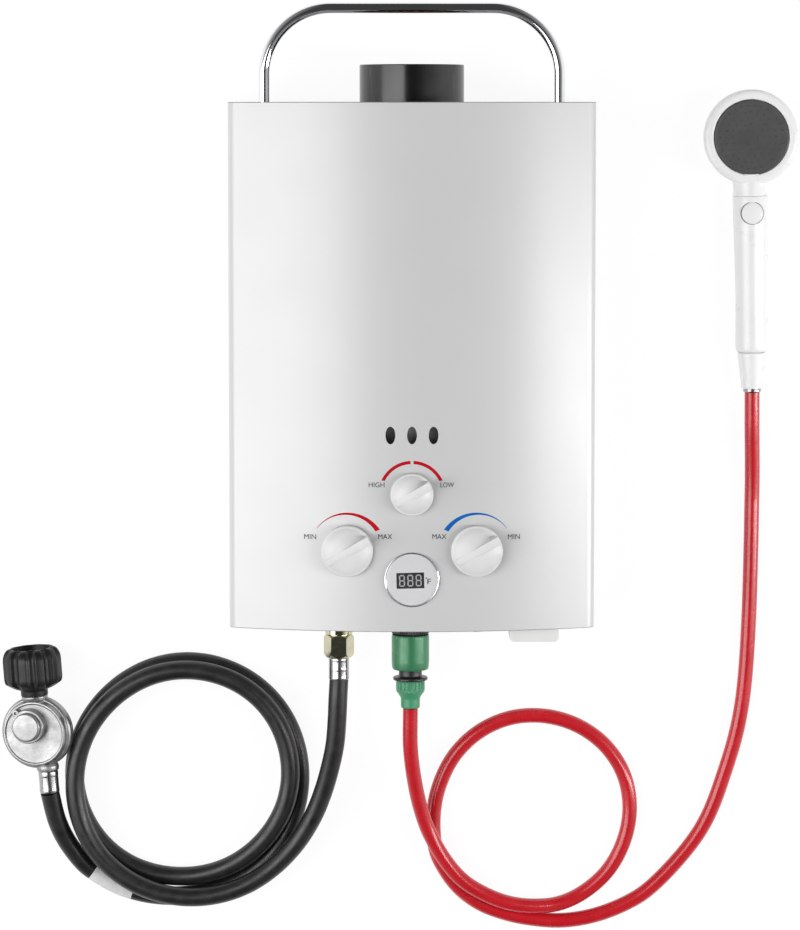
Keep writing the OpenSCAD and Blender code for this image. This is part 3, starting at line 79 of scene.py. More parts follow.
def surface(name, color, alt, mix_scale=9.0, stretch=(1, 1, 1), rough=0.4, swing=0.05, rough_scale=60.0,
            metal=0.0, bump=0.1, bump_scale=700.0, bump_dist=0.00012, coat=0.0, coat_rough=0.06, spec=0.5,
            ior=1.5, second=None):
    """A procedural surface: two tones mixed by noise, uneven gloss and a fine relief."""
    m = bpy.data.materials.new(name)
    nt, out = fresh_tree(m, "OutputMaterial")
    b = node(nt, "BsdfPrincipled")
    nt.links.new(b.outputs[0], out.inputs[0])
    for socket, value in (("Metallic", metal), ("IOR", ior), ("Specular IOR Level", spec), ("Coat Weight", coat),
                          ("Coat Roughness", coat_rough)):
        b.inputs[socket].default_value = value
    co = node(nt, "TexCoord")
    mp = node(nt, "Mapping")
    mp.inputs["Scale"].default_value = stretch
    nt.links.new(co.outputs["Object"], mp.inputs[0])

    def noise(scale, detail, grain=0.55):
        n = node(nt, "TexNoise")
        n.inputs["Scale"].default_value = scale
        n.inputs["Detail"].default_value = detail
        n.inputs["Roughness"].default_value = grain
        nt.links.new(mp.outputs[0], n.inputs["Vector"])
        return n.outputs["Fac"]

    def relief(height, strength, distance):
        n = node(nt, "Bump")
        n.inputs["Strength"].default_value = strength
        n.inputs["Distance"].default_value = distance
        nt.links.new(height, n.inputs["Height"])
        return n

    ramp = node(nt, "ValToRGB")
    tones = zip(ramp.color_ramp.elements, (0.34, 0.66), (alt, color))
    for element, position, tone in tones:
        element.position = position
        element.color = (*tone, 1)
    nt.links.new(noise(mix_scale, 4.0), ramp.inputs[0])
    nt.links.new(ramp.outputs[0], b.inputs["Base Color"])
    span = node(nt, "MapRange")
    for socket, value in (("From Min", 0.3), ("From Max", 0.7), ("To Min", max(0.02, rough - swing)),
                          ("To Max", min(1.0, rough + swing))):
        span.inputs[socket].default_value = value
    nt.links.new(noise(rough_scale, 3.0), span.inputs["Value"])
    nt.links.new(span.outputs[0], b.inputs["Roughness"])
    last = relief(noise(bump_scale, 3.0, 0.6), bump, bump_dist)
    if second:
        scale2, strength2, dist2 = second
        coarse = relief(noise(scale2, 4.0), strength2, dist2)
        nt.links.new(last.outputs[0], coarse.inputs["Normal"])
        last = coarse
    nt.links.new(last.outputs[0], b.inputs["Normal"])
    return m


MAT = {}


def paint(name, *tones, **look):
    MAT[name] = surface("m_" + name, *tones, **look)


paint("case_paint", (0.62, 0.622, 0.625), (0.605, 0.607, 0.61), mix_scale=3.0, rough=0.36, swing=0.03,
      rough_scale=25, bump=0.10, bump_scale=1500, bump_dist=0.00005, coat=1.0, coat_rough=0.28, spec=0.8)
paint("case_sheet", (0.70, 0.705, 0.71), (0.66, 0.665, 0.675), mix_scale=14, rough=0.42, bump=0.12,
      bump_scale=1400, bump_dist=0.00006)
paint("zinc", (0.66, 0.66, 0.65), (0.52, 0.53, 0.55), mix_scale=120, metal=1, rough=0.32, swing=0.12,
      rough_scale=300, bump=0.25, bump_scale=900)
paint("flue_black", (0.006, 0.006, 0.0062), (0.004, 0.004, 0.0042), mix_scale=20, rough=0.20, swing=0.03,
      rough_scale=40, bump=0.05, bump_scale=900, bump_dist=0.00004, spec=0.6, ior=1.55)
paint("hood_steel", (0.60, 0.61, 0.62), (0.47, 0.48, 0.50), mix_scale=18, metal=1, stretch=(1, 4, 1),
      rough=0.38, swing=0.12, bump=0.15, bump_scale=600)
paint("copper", (0.76, 0.42, 0.27), (0.60, 0.30, 0.19), mix_scale=30, metal=1, rough=0.34, swing=0.12,
      rough_scale=45, bump=0.15, bump_scale=500)
paint("brass", (0.76, 0.60, 0.30), (0.62, 0.47, 0.22), mix_scale=40, metal=1, rough=0.30, swing=0.10,
      rough_scale=80, bump=0.18, bump_scale=700, stretch=(1, 3, 1))
paint("valve_alloy", (0.62, 0.62, 0.63), (0.50, 0.50, 0.52), mix_scale=60, metal=1, rough=0.50, swing=0.12,
      bump=0.5, bump_scale=450, bump_dist=0.0002)
paint("valve_brass", (0.72, 0.58, 0.33), (0.58, 0.45, 0.25), mix_scale=55, metal=1, rough=0.42, swing=0.1,
      bump=0.4, bump_scale=400, bump_dist=0.0002)
paint("black_plastic", (0.035, 0.035, 0.038), (0.028, 0.028, 0.03), mix_scale=50, rough=0.5, bump=0.35,
      bump_scale=1300, bump_dist=0.0001)
paint("ceramic_white", (0.86, 0.84, 0.78), (0.80, 0.77, 0.70), mix_scale=120, rough=0.2, bump=0.08,
      bump_scale=500, coat=0.4)
paint("cell_wrap", (0.12, 0.16, 0.21), (0.10, 0.13, 0.18), mix_scale=60, rough=0.35, bump=0.1, bump_scale=500,
      coat=0.3)
paint("lid_plastic", (0.80, 0.80, 0.785), (0.77, 0.77, 0.755), mix_scale=60, rough=0.45, bump=0.25,
      bump_scale=1500, bump_dist=0.00006)
paint("chrome", (0.86, 0.87, 0.88), (0.82, 0.83, 0.85), mix_scale=30, metal=1, rough=0.07, swing=0.025,
      rough_scale=70, bump=0.03, bump_scale=300, bump_dist=0.00003)
paint("display_face", (0.70, 0.70, 0.72), (0.68, 0.68, 0.70), mix_scale=30, rough=0.16, swing=0.03, bump=0.03,
      bump_scale=300, bump_dist=0.00003, coat=0.8, coat_rough=0.04)
paint("knob_plastic", (0.76, 0.762, 0.765), (0.72, 0.722, 0.725), mix_scale=70, rough=0.36, swing=0.05,
      bump=0.18, bump_scale=1800, bump_dist=0.00005)
paint("nut_brass", (0.66, 0.64, 0.47), (0.58, 0.55, 0.39), mix_scale=80, metal=1, rough=0.10, swing=0.04,
      rough_scale=160, bump=0.10, bump_scale=500, stretch=(1, 2, 1))
paint("hose_black", (0.016, 0.016, 0.0165), (0.011, 0.011, 0.0115), mix_scale=60, rough=0.38, swing=0.08,
      rough_scale=120, bump=0.22, bump_scale=900, bump_dist=0.0001, spec=0.55, second=(90, 0.12, 0.0003))
paint("reg_cast", (0.43, 0.43, 0.43), (0.33, 0.33, 0.335), mix_scale=55, metal=0.9, rough=0.42, swing=0.13,
      rough_scale=110, bump=0.35, bump_scale=420, bump_dist=0.0002, second=(130, 0.25, 0.0003))
paint("wheel_black", (0.009, 0.009, 0.0095), (0.006, 0.006, 0.0065), mix_scale=60, rough=0.40, swing=0.07,
      bump=0.3, bump_scale=1100, bump_dist=0.0001, spec=0.35)
paint("fitting_black", (0.022, 0.022, 0.023), (0.016, 0.016, 0.017), mix_scale=80, rough=0.34, swing=0.06,
      bump=0.2, bump_scale=1100, bump_dist=0.00008)
paint("sleeve_green", (0.045, 0.22, 0.098), (0.036, 0.19, 0.082), mix_scale=40, metal=0.15, rough=0.33,
      swing=0.06, rough_scale=140, bump=0.2, bump_scale=1100, bump_dist=0.00006, coat=0.15, coat_rough=0.2)
paint("nut_green", (0.065, 0.32, 0.165), (0.055, 0.28, 0.14), mix_scale=60, rough=0.36, bump=0.2,
      bump_scale=1300, bump_dist=0.00006)
paint("hose_red", (0.60, 0.012, 0.022), (0.54, 0.008, 0.016), mix_scale=50, rough=0.26, swing=0.05,
      rough_scale=90, bump=0.1, bump_scale=700, bump_dist=0.00006, coat=0.3, coat_rough=0.12,
      second=(70, 0.08, 0.0003))
paint("handset_white", (0.92, 0.92, 0.925), (0.90, 0.90, 0.905), mix_scale=30, rough=0.30, swing=0.04,
      bump=0.05, bump_scale=900, bump_dist=0.00004, coat=0.2, coat_rough=0.12)
paint("spray_grey", (0.075, 0.075, 0.076), (0.065, 0.065, 0.066), mix_scale=90, rough=0.45, bump=0.3,
      bump_scale=1500, bump_dist=0.00008)
paint("print_red", (0.50, 0.004, 0.016), (0.45, 0.003, 0.012), mix_scale=200, rough=0.6, bump=0.08,
      bump_scale=1500, spec=0.08)
paint("print_blue", (0.003, 0.13, 0.47), (0.002, 0.115, 0.43), mix_scale=200, rough=0.6, bump=0.08,
      bump_scale=1500, spec=0.08)
paint("print_dark", (0.006, 0.006, 0.0065), (0.004, 0.004, 0.0045), mix_scale=300, rough=0.7, bump=0.08,
      bump_scale=1500, spec=0.05)
paint("window_dark", (0.045, 0.045, 0.05), (0.035, 0.035, 0.04), mix_scale=150, rough=0.2, bump=0.04,
      bump_scale=500, coat=0.6)
paint("digit_pale", (0.42, 0.42, 0.42), (0.38, 0.38, 0.38), mix_scale=300, rough=0.35, bump=0.04,
      bump_scale=800)
paint("label_pale", (0.78, 0.78, 0.78), (0.70, 0.70, 0.70), mix_scale=160, rough=0.45, bump=0.1, bump_scale=800)
# painted shade: a darker grey for the case's rolled rims, standing in for the shade line along its top and bottom
# edges
paint("painted_rim_shade", (0.30, 0.30, 0.305), (0.26, 0.26, 0.265), mix_scale=200, rough=0.5, bump=0.05,
      bump_scale=900)
paint("crimp_metal", (0.46, 0.46, 0.46), (0.38, 0.38, 0.385), mix_scale=30, metal=1, rough=0.22, swing=0.05,
      bump=0.1, bump_scale=500, bump_dist=0.00005, stretch=(4, 1, 4))
# painted shade: dark grey for the narrow well round the stop button, standing in for shade in the gap
paint("painted_gap_shade", (0.12, 0.12, 0.125), (0.10, 0.10, 0.105), mix_scale=200, rough=0.5, bump=0.05,
      bump_scale=900)
NODE_SLOT = {s["node"]: s["material_slot"] for s in frame["record"]["subparts"]}
for name, obj in frame["nodes"].items():
    for ms in obj.material_slots:
        ms.material = MAT[NODE_SLOT[name]]


# ------------------------------------------------------------------ mesh helpers (points in millimetres)
def place(name, data):
    o = bpy.data.objects.new(name, data)
    bpy.context.scene.collection.objects.link(o)
    return o


def make(name, verts, faces, slot, body="case", mat=None, replaces=(), sharp=32.0, outward=True, merge=0.0):
    me = bpy.data.meshes.new(name)
    me.from_pydata([tuple(c * MM for c in v) for v in verts], [], faces)
    bm = bmesh.new()
    bm.from_mesh(me)
    if merge:
        bmesh.ops.remove_doubles(bm, verts=bm.verts, dist=merge * MM)
    if outward:
        bmesh.ops.recalc_face_normals(bm, faces=bm.faces)
    bm.to_mesh(me)
    bm.free()
    for p in me.polygons:
        p.use_smooth = True
    me.set_sharp_from_angle(angle=rad(sharp))
    me.materials.append(mat or MAT[slot])
    return settle(place(name, me), body, replaces)


def settle(o, body, replaces=()):
    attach(o, body)
    if replaces:
        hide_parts(*replaces)
    return o


TURN_X = Matrix.Rotation(rad(-90), 4, "X")


def shift(x, y, z):
    return Matrix.Translation((x, y, z))


def along_y(x, y, z):
    return shift(x, y, z) @ TURN_X


def soft(points, rad_default=0.0, steps=4):
    """Rounds the corners of a profile: each point is (r, h) or (r, h, radius)."""
    pts = [Vector((p[0], p[1])) for p in points]
    rads = [p[2] if len(p) > 2 else rad_default for p in points]
    out = []
    for i, p in enumerate(pts):
        if i in (0, len(pts) - 1) or rads[i] <= 0:
            out.append((p.x, p.y))
            continue
        a, b = pts[i - 1] - p, pts[i + 1] - p
        d = min(rads[i], a.length * 0.49, b.length * 0.49)
        if d < 1e-4:
            out.append((p.x, p.y))
            continue
        s, e = p + a.normalized() * d, p + b.normalized() * d
        for k in range(steps + 1):
            t = k / steps
            q = s * (1 - t) ** 2 + p * 2 * t * (1 - t) + e * t ** 2
            out.append((q.x, q.y))
    return out


def soft_loop(points, rad_default=0.0, steps=4):
    """As soft, for a closed profile."""
    ext = [points[-1]] + list(points) + [points[0]]
    n = soft(ext, rad_default, steps)
    return n[1:-1]


def lathe_mesh(M, prof, n=96, shape=None, closed=False):
    verts, faces, rings = [], [], []
    for r, h in prof:
        if r < 1e-5:
            verts.append(M @ Vector((0, 0, h)))
            rings.append([len(verts) - 1])
            continue
        ids = []
        for k in range(n):
            a = 2 * pi * k / n
            rr = shape(a, r, h) if shape else r
            verts.append(M @ Vector((rr * cos(a), rr * sin(a), h)))
            ids.append(len(verts) - 1)
        rings.append(ids)
    pairs = list(zip(rings[:-1], rings[1:]))
    if closed:
        pairs.append((rings[-1], rings[0]))
    for a, b in pairs:
        if len(a) == 1 and len(b) == 1:
            continue
        for k in range(n):
            j = (k + 1) % n
            if len(a) == 1:
                faces.append((a[0], b[j], b[k]))
            elif len(b) == 1:
                faces.append((a[k], a[j], b[0]))
            else:
                faces.append((a[k], a[j], b[j], b[k]))
    return verts, faces


def join(*parts):
    verts, faces = [], []
    for v, f in parts:
        base = len(verts)
        verts += list(v)
        faces += [tuple(i + base for i in q) for q in f]
    return verts, faces


def lathe(name, M, prof, slot, n=96, shape=None, closed=False, **kw):
    v, f = lathe_mesh(M, prof, n, shape, closed)
    return make(name, v, f, slot, **kw)


def skin_mesh(rows, close=True, cap=True):
    """Skins rings of equal count; caps the ends with fans."""
    verts, faces = [], []
    n = len(rows[0])
    for row in rows:
        verts += [Vector(p) for p in row]
    for i in range(len(rows) - 1):
        for k in range(n if close else n - 1):
            j = (k + 1) % n
            faces.append((i * n + k, i * n + j, (i + 1) * n + j, (i + 1) * n + k))
    if cap:
        for base in (0, (len(rows) - 1) * n):
            c = sum((verts[base + k] for k in range(n)), Vector()) / n
            verts.append(c)
            for k in range(n):
                faces.append((base + k, base + (k + 1) % n, len(verts) - 1))
    return verts, faces


def tube_rings(path, r, sides=24, shape=None):
    pts = [Vector(p) for p in path]
    n = len(pts)
    tan = []
    for i in range(n):
        a, b = pts[max(0, i - 1)], pts[min(n - 1, i + 1)]
        tan.append((b - a).normalized())
    up = Vector((0, 0, 1))
    if abs(tan[0].dot(up)) > 0.9:
        up = Vector((1, 0, 0))
    side = tan[0].cross(up).normalized()
    rows = []
    for i in range(n):
        side = (side - tan[i] * side.dot(tan[i])).normalized()
        nor = tan[i].cross(side)
        rr = r(i) if callable(r) else r
        rows.append([pts[i] + side * (rr * cos(2 * pi * k / sides)) + nor * (rr * sin(2 * pi * k / sides))
                     for k in range(sides)])
    return rows


def spline(points, step):
    """Centripetal spline through the given points, sampled about every step millimetres."""
    p = [Vector(q) for q in points]
    p = [p[0] * 2 - p[1]] + p + [p[-1] * 2 - p[-2]]
    out = []
    for i in range(1, len(p) - 2):
        p0, p1, p2, p3 = p[i - 1], p[i], p[i + 1], p[i + 2]
        t0 = 0.0
        t1 = t0 + (p1 - p0).length ** 0.5
        t2 = t1 + (p2 - p1).length ** 0.5
        t3 = t2 + (p3 - p2).length ** 0.5
        m = max(1, round((p2 - p1).length / step))
        for k in range(m):
            t = t1 + (t2 - t1) * k / m
            a1 = p0 * ((t1 - t) / (t1 - t0)) + p1 * ((t - t0) / (t1 - t0))
            a2 = p1 * ((t2 - t) / (t2 - t1)) + p2 * ((t - t1) / (t2 - t1))
            a3 = p2 * ((t3 - t) / (t3 - t2)) + p3 * ((t - t2) / (t3 - t2))
            b1 = a1 * ((t2 - t) / (t2 - t0)) + a2 * ((t - t0) / (t2 - t0))
            b2 = a2 * ((t3 - t) / (t3 - t1)) + a3 * ((t - t1) / (t3 - t1))
            out.append(b1 * ((t2 - t) / (t2 - t1)) + b2 * ((t - t1) / (t2 - t1)))
    out.append(p[-2])
    return out


# ------------------------------------------------------------------ camera
cam = bpy.data.cameras.new("camera")
cam.sensor_width = 36.0
cam.lens = 3418.0 / 930.0 * 36.0
cam.shift_y = -60.0 / 930.0
cam.clip_end = 50
cam_obj = place("camera", cam)
cam_obj.location = (-0.0095, 0.196, 2.817)
cam_obj.rotation_euler = (rad(-4.77), 0, 0)
bpy.context.scene.camera = cam_obj

# ------------------------------------------------------------------ cords: the gas hose and the shower hose
REG_M = shift(*REG) @ Matrix.Rotation(rad(REG_TURN), 4, "Z") @ Matrix.Rotation(rad(-REG_ROLL), 4, "Y")
REG_EXIT = REG_M @ Vector((REG_OUT_X, REG_OUT_Y - REG_OUT_H, 0))
COIL_C = (-190.0, -348.0)
COIL = [
    (105, 25), (98.5, 24.3), (93.6, 24.3), (88.5, 24.4), (88, 24.4), (91.5, 24.3), (93.2, 24), (89.5, 22.8),
    (84.5, 18), (84.6, 9), (88, 8), (90.3, 8), (91.6, 8), (96, 8), (97.9, 8), (97.4, 8), (98.8, 8), (101, 8),
    (110.1, 9),
]
KNOTS = ([(2 * COIL[0][0] - COIL[1][0], 2 * COIL[0][1] - COIL[1][1])] + COIL
         + [(2 * COIL[-1][0] - COIL[-2][0], 2 * COIL[-1][1] - COIL[-2][1])])


def coil_at(x):
    i = min(max(int(math.floor(x)), 0), len(COIL) - 2)
    t = x - i
    q = []
    for c in (0, 1):
        a, b, d, e = (KNOTS[i + j][c] for j in range(4))
        q.append(0.5 * (2 * b + (d - a) * t + (2 * a - 5 * b + 4 * d - e) * t * t
                        + (3 * b - a - 3 * d + e) * t ** 3))
    ang = rad(-90 + 45 - 45 * x)
    return (COIL_C[0] + q[0] * cos(ang), COIL_C[1] + q[0] * sin(ang), q[1])


def lay(points, r):
    """The centre line through the points, kept just off the ground."""
    return [Vector((p.x, p.y, max(p.z, r + 0.1))) for p in spline(points, 4.0)]


gas_points = [(-59.5, -260.6, 45), (-60.3, -275, 45), (-61.2, -295, 43.5), (-62.9, -315.2, 41), (-67.1, -335.9, 37),
              (-73, -356.7, 33), (-81.5, -378, 29.5), (-95.4, -400.8, 26.8)]
gas_points += [coil_at(k / 3) for k in range((len(COIL) - 1) * 3 + 1)]
gas_points += [(-275, -418.5, 11), (-286.8, -400.8, 15), (-294, -382.8, 20.5), tuple(REG_EXIT)]
gas_path = lay(gas_points, GAS_R)
F = SHOWER_R + 0.2
shower_points = [
    (-1, -284.3, 45), (-0.9, -318.6, 41), (2.9, -350.4, 31.5), (7.5, -371.8, 25.3), (14.6, -392.9, 20.8),
    (28.6, -417.9, 18.9), (43, -434.4, 18), (61, -446, 16.6), (80.4, -453.6, 15.9), (100.9, -456.9, 13),
    (121.8, -456, 8.6), (141.1, -448.3, F), (162.9, -429.5, F), (176.7, -404.4, F), (181.9, -376.3, F),
    (177, -347.8, F), (161.6, -323.3, F), (138.4, -306.1, F), (111, -298, F), (82.4, -299.5, F),
    (56.2, -311.2, F), (35.7, -331.2, F), (23, -357.1, F), (18.4, -381.5, F), (20.1, -409.4, F),
    (25.3, -422.6, F), (38.6, -441.7, F), (56.9, -455.9, F), (78.4, -464.4, F), (101.2, -469.1, F),
    (125.6, -470.6, F), (151.5, -466.6, F), (178.3, -456.4, F), (199, -443, F), (240.5, -394.5, F),
    (261, -344, F), (275, -285, F), (281.5, -115, F), (280.4, -54, 13), (280, -27, 15),
]
shower_path = lay(shower_points, SHOWER_R)


HOSE_SIDES = 28


def hose(name, path, r, slot, nodes):
    rows = tube_rings(path, r, HOSE_SIDES)
    v, f = skin_mesh(rows)
    return make(name, v, f, slot, replaces=nodes, sharp=60)


gas_hose = hose("gas_hose", gas_path, GAS_R, "hose_black", ("gas_hose_lead", "gas_hose_coil", "gas_hose_tail"))
shower_hose = hose("shower_hose_tube", shower_path, SHOWER_R, "hose_red", ("shower_hose",))

# the blank pale label round the tail of the gas hose
gas_hose.data.materials.append(MAT["label_pale"])
near = min(range(len(gas_path) - 60, len(gas_path)),
           key=lambda i: (gas_path[i] - Vector((-246, -439, 8))).length)
for poly in gas_hose.data.polygons:
    row = poly.index // HOSE_SIDES
    if poly.index < (len(gas_path) - 1) * HOSE_SIDES and near - 4 <= row <= near + 4:
        poly.material_index = 1

# ------------------------------------------------------------------ case front
cols_flat = sorted({round(-25.65 + 2.85 * k, 4) for k in range(19)})


def section_point(s, inset):
    """Point and normal of the case's section: s is ('b', x) on the bow or ('c', angle, side) round a corner."""
    if s[0] == "b":
        x = s[1]
        a = math.asin(x / FRONT_R)
        r = FRONT_R - inset
        return r * sin(a), BIG_Z + r * cos(a), sin(a), cos(a)
    if s[0] == "c":
        a, side = s[1], s[2]
        r = CORNER_R - inset
        return side * (FILLET_X + r * sin(a)), FILLET_Z + r * cos(a), side * sin(a), cos(a)
    z, side = s[1], s[2]
    return side * (CASE_W / 2 - inset), z, side, 0.0


bow_edge = FRONT_R * sin(BOW_TURN)
outside = [28.5 + (bow_edge - 28.5) * k / 34 for k in range(35)]


def half(side):
    """Stations from the flat middle out over one corner and down that side."""
    out = [("b", side * x) for x in outside]
    out += [("c", BOW_TURN + (pi / 2 - BOW_TURN) * k / 20, side) for k in range(1, 21)]
    return out + [("s", z, side) for z in (70.0, 40.0, 12.0, 0.5)]


stations = half(-1)[::-1] + [("b", x) for x in cols_flat] + half(1)
HOLE_Y0, HOLE_Y1 = VIEW_Y - 13.0, VIEW_Y + 13.0
LIP = SHEET / 2
patch_rows = [HOLE_Y0 + (HOLE_Y1 - HOLE_Y0) * k / 6 for k in range(7)]
levels = [EDGE + LIP] + [EDGE + 3, -190, -160, -130, -100, -80] + patch_rows + [-20, 20, 60, 100, 140, 175, 200,
                                                                             RIM - 3, RIM - LIP]
verts, faces, normals = [], [], []


def put(s, inset, y, tilt=0.0):
    """tilt turns the normal from straight out (0) through the rim (90) to straight in (180), towards sign of y."""
    x, z, nx, nz = section_point(s, inset)
    verts.append((x, y, z))
    c, t = cos(rad(abs(tilt))), sin(rad(abs(tilt))) * (1 if tilt > 0 else -1)
    normals.append((nx * c, t, nz * c))
    return len(verts) - 1


def close_ring(a, b, flip=False):
    for k in range(len(a)):
        m = (k + 1) % len(a)
        q = (a[k], a[m], b[m], b[k])
        faces.append(q[::-1] if flip else q)


def sheet_face(inset, flip):
    grid = [[put(s, inset, y, 180 if flip else 0) for s in stations] for y in levels]
    first = stations.index(("b", cols_flat[0]))
    last = stations.index(("b", cols_flat[-1]))
    r0, r1 = levels.index(patch_rows[0]), levels.index(patch_rows[-1])
    for i in range(len(levels) - 1):
        for j in range(len(stations) - 1):
            if r0 <= i < r1 and first <= j < last:
                continue
            q = (grid[i][j], grid[i][j + 1], grid[i + 1][j + 1], grid[i + 1][j])
            faces.append(q[::-1] if flip else q)
    loops = []
    for h in range(3):
        j0 = first + 6 * h
        ring = ([grid[r0][j0 + k] for k in range(6)] + [grid[r0 + k][j0 + 6] for k in range(6)]
                + [grid[r1][j0 + 6 - k] for k in range(6)] + [grid[r1 - k][j0] for k in range(6)])
        cx = (h - 1) * VIEW_PITCH
        edge = [Vector((verts[v][0] - cx, verts[v][1] - VIEW_Y)) for v in ring]
        prev = ring
        for t in (0.45, 0.8, 0.93, 1.0):
            cur = []
            for k, e in enumerate(edge):
                a = math.atan2(e.y / 13.0, e.x / 8.55)
                target = Vector((VIEW_W / 2 * cos(a), VIEW_H / 2 * sin(a)))
                p = e.lerp(target * 1.04, t) if t < 1.0 else target * 1.04
                cur.append(put(("b", cx + p.x), inset, VIEW_Y + p.y, 180 if flip else 0))
            close_ring(prev, cur, flip)
            prev = cur
        loops.append(prev)
    return grid, loops


outer, outer_loops = sheet_face(0.0, False)
inner, inner_loops = sheet_face(SHEET, True)
rim_first = len(faces)
# rolled rims above and below; their faces get a darker grey, a painted shade line along the case's edges
for row, y0, sgn in ((-1, RIM - LIP, 1), (0, EDGE + LIP, -1)):
    prev = outer[row]
    for t in (30, 60, 90, 120, 150):
        cur = [put(s, LIP - LIP * cos(rad(t)), y0 + sgn * LIP * sin(rad(t)), sgn * t) for s in stations]
        for j in range(len(stations) - 1):
            q = (prev[j], prev[j + 1], cur[j + 1], cur[j])
            faces.append(q if sgn > 0 else q[::-1])
        prev = cur
    cur = inner[row]
    for j in range(len(stations) - 1):
        q = (prev[j], prev[j + 1], cur[j + 1], cur[j])
        faces.append(q if sgn > 0 else q[::-1])
rim_last = len(faces)
# walls of the view holes, with a small round at the outer edge
for o_ring, i_ring, h in zip(outer_loops, inner_loops, range(3)):
    cx = (h - 1) * VIEW_PITCH
    prev = o_ring
    for inset, grow in ((0.05, 1.02), (0.18, 1.005), (0.4, 1.0), (0.9, 1.0)):
        cur = []
        for v in o_ring:
            dx, dy = (verts[v][0] - cx) / 1.04 * grow, (verts[v][1] - VIEW_Y) / 1.04 * grow
            x, z, nx, nz = section_point(("b", cx + dx), inset)
            verts.append((x, VIEW_Y + dy, z))
            n = Vector((-dx / VIEW_W ** 2, -dy / VIEW_H ** 2, 0)).normalized()
            w = min(1.0, inset / 0.4)
            n = (n * w + Vector((nx, 0, nz)) * (1 - w)).normalized()
            normals.append(tuple(n))
            cur.append(len(verts) - 1)
        close_ring(prev, cur)
        prev = cur
    close_ring(prev, i_ring)
# rear edges of the sides
for j in (0, -1):
    for i in range(len(levels) - 1):
        q = (outer[i][j], outer[i + 1][j], inner[i + 1][j], inner[i][j])
        faces.append(q if j == 0 else q[::-1])
me = bpy.data.meshes.new("case_front")
me.from_pydata([tuple(c * MM for c in v) for v in verts], [], faces)
me.materials.append(MAT["case_paint"])
me.materials.append(MAT["painted_rim_shade"])
# the rolled-rim faces take material 1, the painted rim shade
for p in me.polygons:
    p.use_smooth = True
    p.material_index = 1 if rim_first <= p.index < rim_last else 0
me.validate(verbose=False)
me.normals_split_custom_set_from_vertices([Vector(n).normalized() for n in normals])
settle(place("case_front", me), "case", ("front_cover",))

# ------------------------------------------------------------------ flue collar
flue = soft_loop([(49.0, 0), (49.0, 1.5, 0.6), (42.0, 1.5, 1.5), (42.0, 46, 1.6), (40.5, 46, 0.7), (40.5, 0)],
                 0.2, 6)
lathe("flue_ring", along_y(0, TOP, 60), flue, "flue_black", n=128, closed=True, replaces=("flue_collar",), sharp=50)

# ------------------------------------------------------------------ carrying handle
HX, HTOP, HB, PIV = 118.5, 285.5, 53.5, 202.0
path = [(-HX, PIV + (HTOP - HB - PIV) * k / 6, 60) for k in range(6)]
path += [(-HX + HB - HB * cos(rad(a)), HTOP - HB + HB * sin(rad(a)), 60) for a in range(0, 91, 3)]
path += [((HX - HB) * (2 * k / 8 - 1), HTOP, 60) for k in range(1, 8)]
path += [(HX - HB + HB * sin(rad(a)), HTOP - HB + HB * cos(rad(a)), 60) for a in range(0, 91, 3)]
path += [(HX, HTOP - HB - (HTOP - HB - PIV) * (k + 1) / 6, 60) for k in range(6)]
parts = [skin_mesh(tube_rings(path, 4.5, 40))]
for s in (-1, 1):
    eye = soft_loop([(5.5, -4.8), (5.5, 4.8), (2.75, 4.8), (2.75, -4.8)], 0.8, 3)
    parts.append(lathe_mesh(shift(s * HX, PIV, 60) @ Matrix.Rotation(rad(90), 4, "Y"), eye, 48, closed=True))
v, f = join(*parts)
make("handle_bar", v, f, "chrome", body="handle", replaces=("handle_bail",), sharp=50)


# ------------------------------------------------------------------ knobs
def knob(name, x, y, z, r, body, node):
    h = 15.0
    base_h, dome_h = 5.0, 10.5
    ball = (r * r + (dome_h - base_h) ** 2) / (2 * (dome_h - base_h))
    M = shift(x, y, z) @ Matrix.Rotation(rad(-60.5), 4, "Z")

    def dome(d):
        return dome_h - ball + sqrt(max(0.0, ball * ball - d * d))

    prof = [(0, 2.2), (r - 1.8, 2.2), (r - 1.8, 0), (r - 0.5, 0), (r - 0.15, 0.3), (r, 0.8), (r, 3.2)]
    for k in range(1, 7):
        a = rad(15 * k)
        prof.append((r - 1.7 * (1 - cos(a)), 3.2 + 1.6 * sin(a)))
    rim_r = prof[-1][0]
    lift = prof[-1][1] - dome(rim_r)
    for k in range(1, 25):
        d = rim_r * (1 - k / 24)
        w = max(0.0, 1 - (rim_r - d) / 5.0)
        prof.append((d, dome(d) + lift * w * w))
    body_mesh = lathe_mesh(M, prof, 128)
    # grip bar: flush at its tail, high at its pointer
    tail, w0, w1 = -0.86 * r, 5.3, 6.6
    rows = []
    count = 40
    for i in range(count + 1):
        t = i / count
        u = tail + (r - 0.15 - tail) * t
        wide = (w0 + (w1 - w0) * t) / 2
        top = 7.9 + (h - 7.9) * t
        lean = 0.35
        e = 0.55
        sect = [(-wide - lean, 2.0), (-wide - lean * 0.2, top - e * 2.0)]
        for k in range(7):
            a = rad(90 * k / 6)
            sect.append((-wide + e - e * cos(a), top - e + e * sin(a)))
        for k in range(7):
            a = rad(90 - 90 * k / 6)
            sect.append((wide - e + e * cos(a), top - e + e * sin(a)))
        sect += [(wide + lean * 0.2, top - e * 2.0), (wide + lean, 2.0)]
        rows.append([M @ Vector((sx, min(u, sqrt(max(0.1, (r - 0.15) ** 2 - sx ** 2))), sz)) for sx, sz in sect])
    v, f = join(body_mesh, skin_mesh(rows))
    return make(name, v, f, "knob_plastic", body=body, replaces=(node,), sharp=38)


knob("gas_dial", -KNOB_X, KNOB_Y, KNOB_Z, 20.5, "gas_control", "gas_knob")
knob("water_dial", KNOB_X, KNOB_Y, KNOB_Z, 20.5, "water_control", "water_knob")
knob("mode_dial", 0.0, MODE_Y, MODE_Z, 17.0, "mode_control", "mode_knob")


# ------------------------------------------------------------------ printed arcs and words on the cover
PRINT_UP, PRINT_DOWN = 0.07, -0.02


def on_cover(x, y, up):
    return (x, y, bow(x) + up)


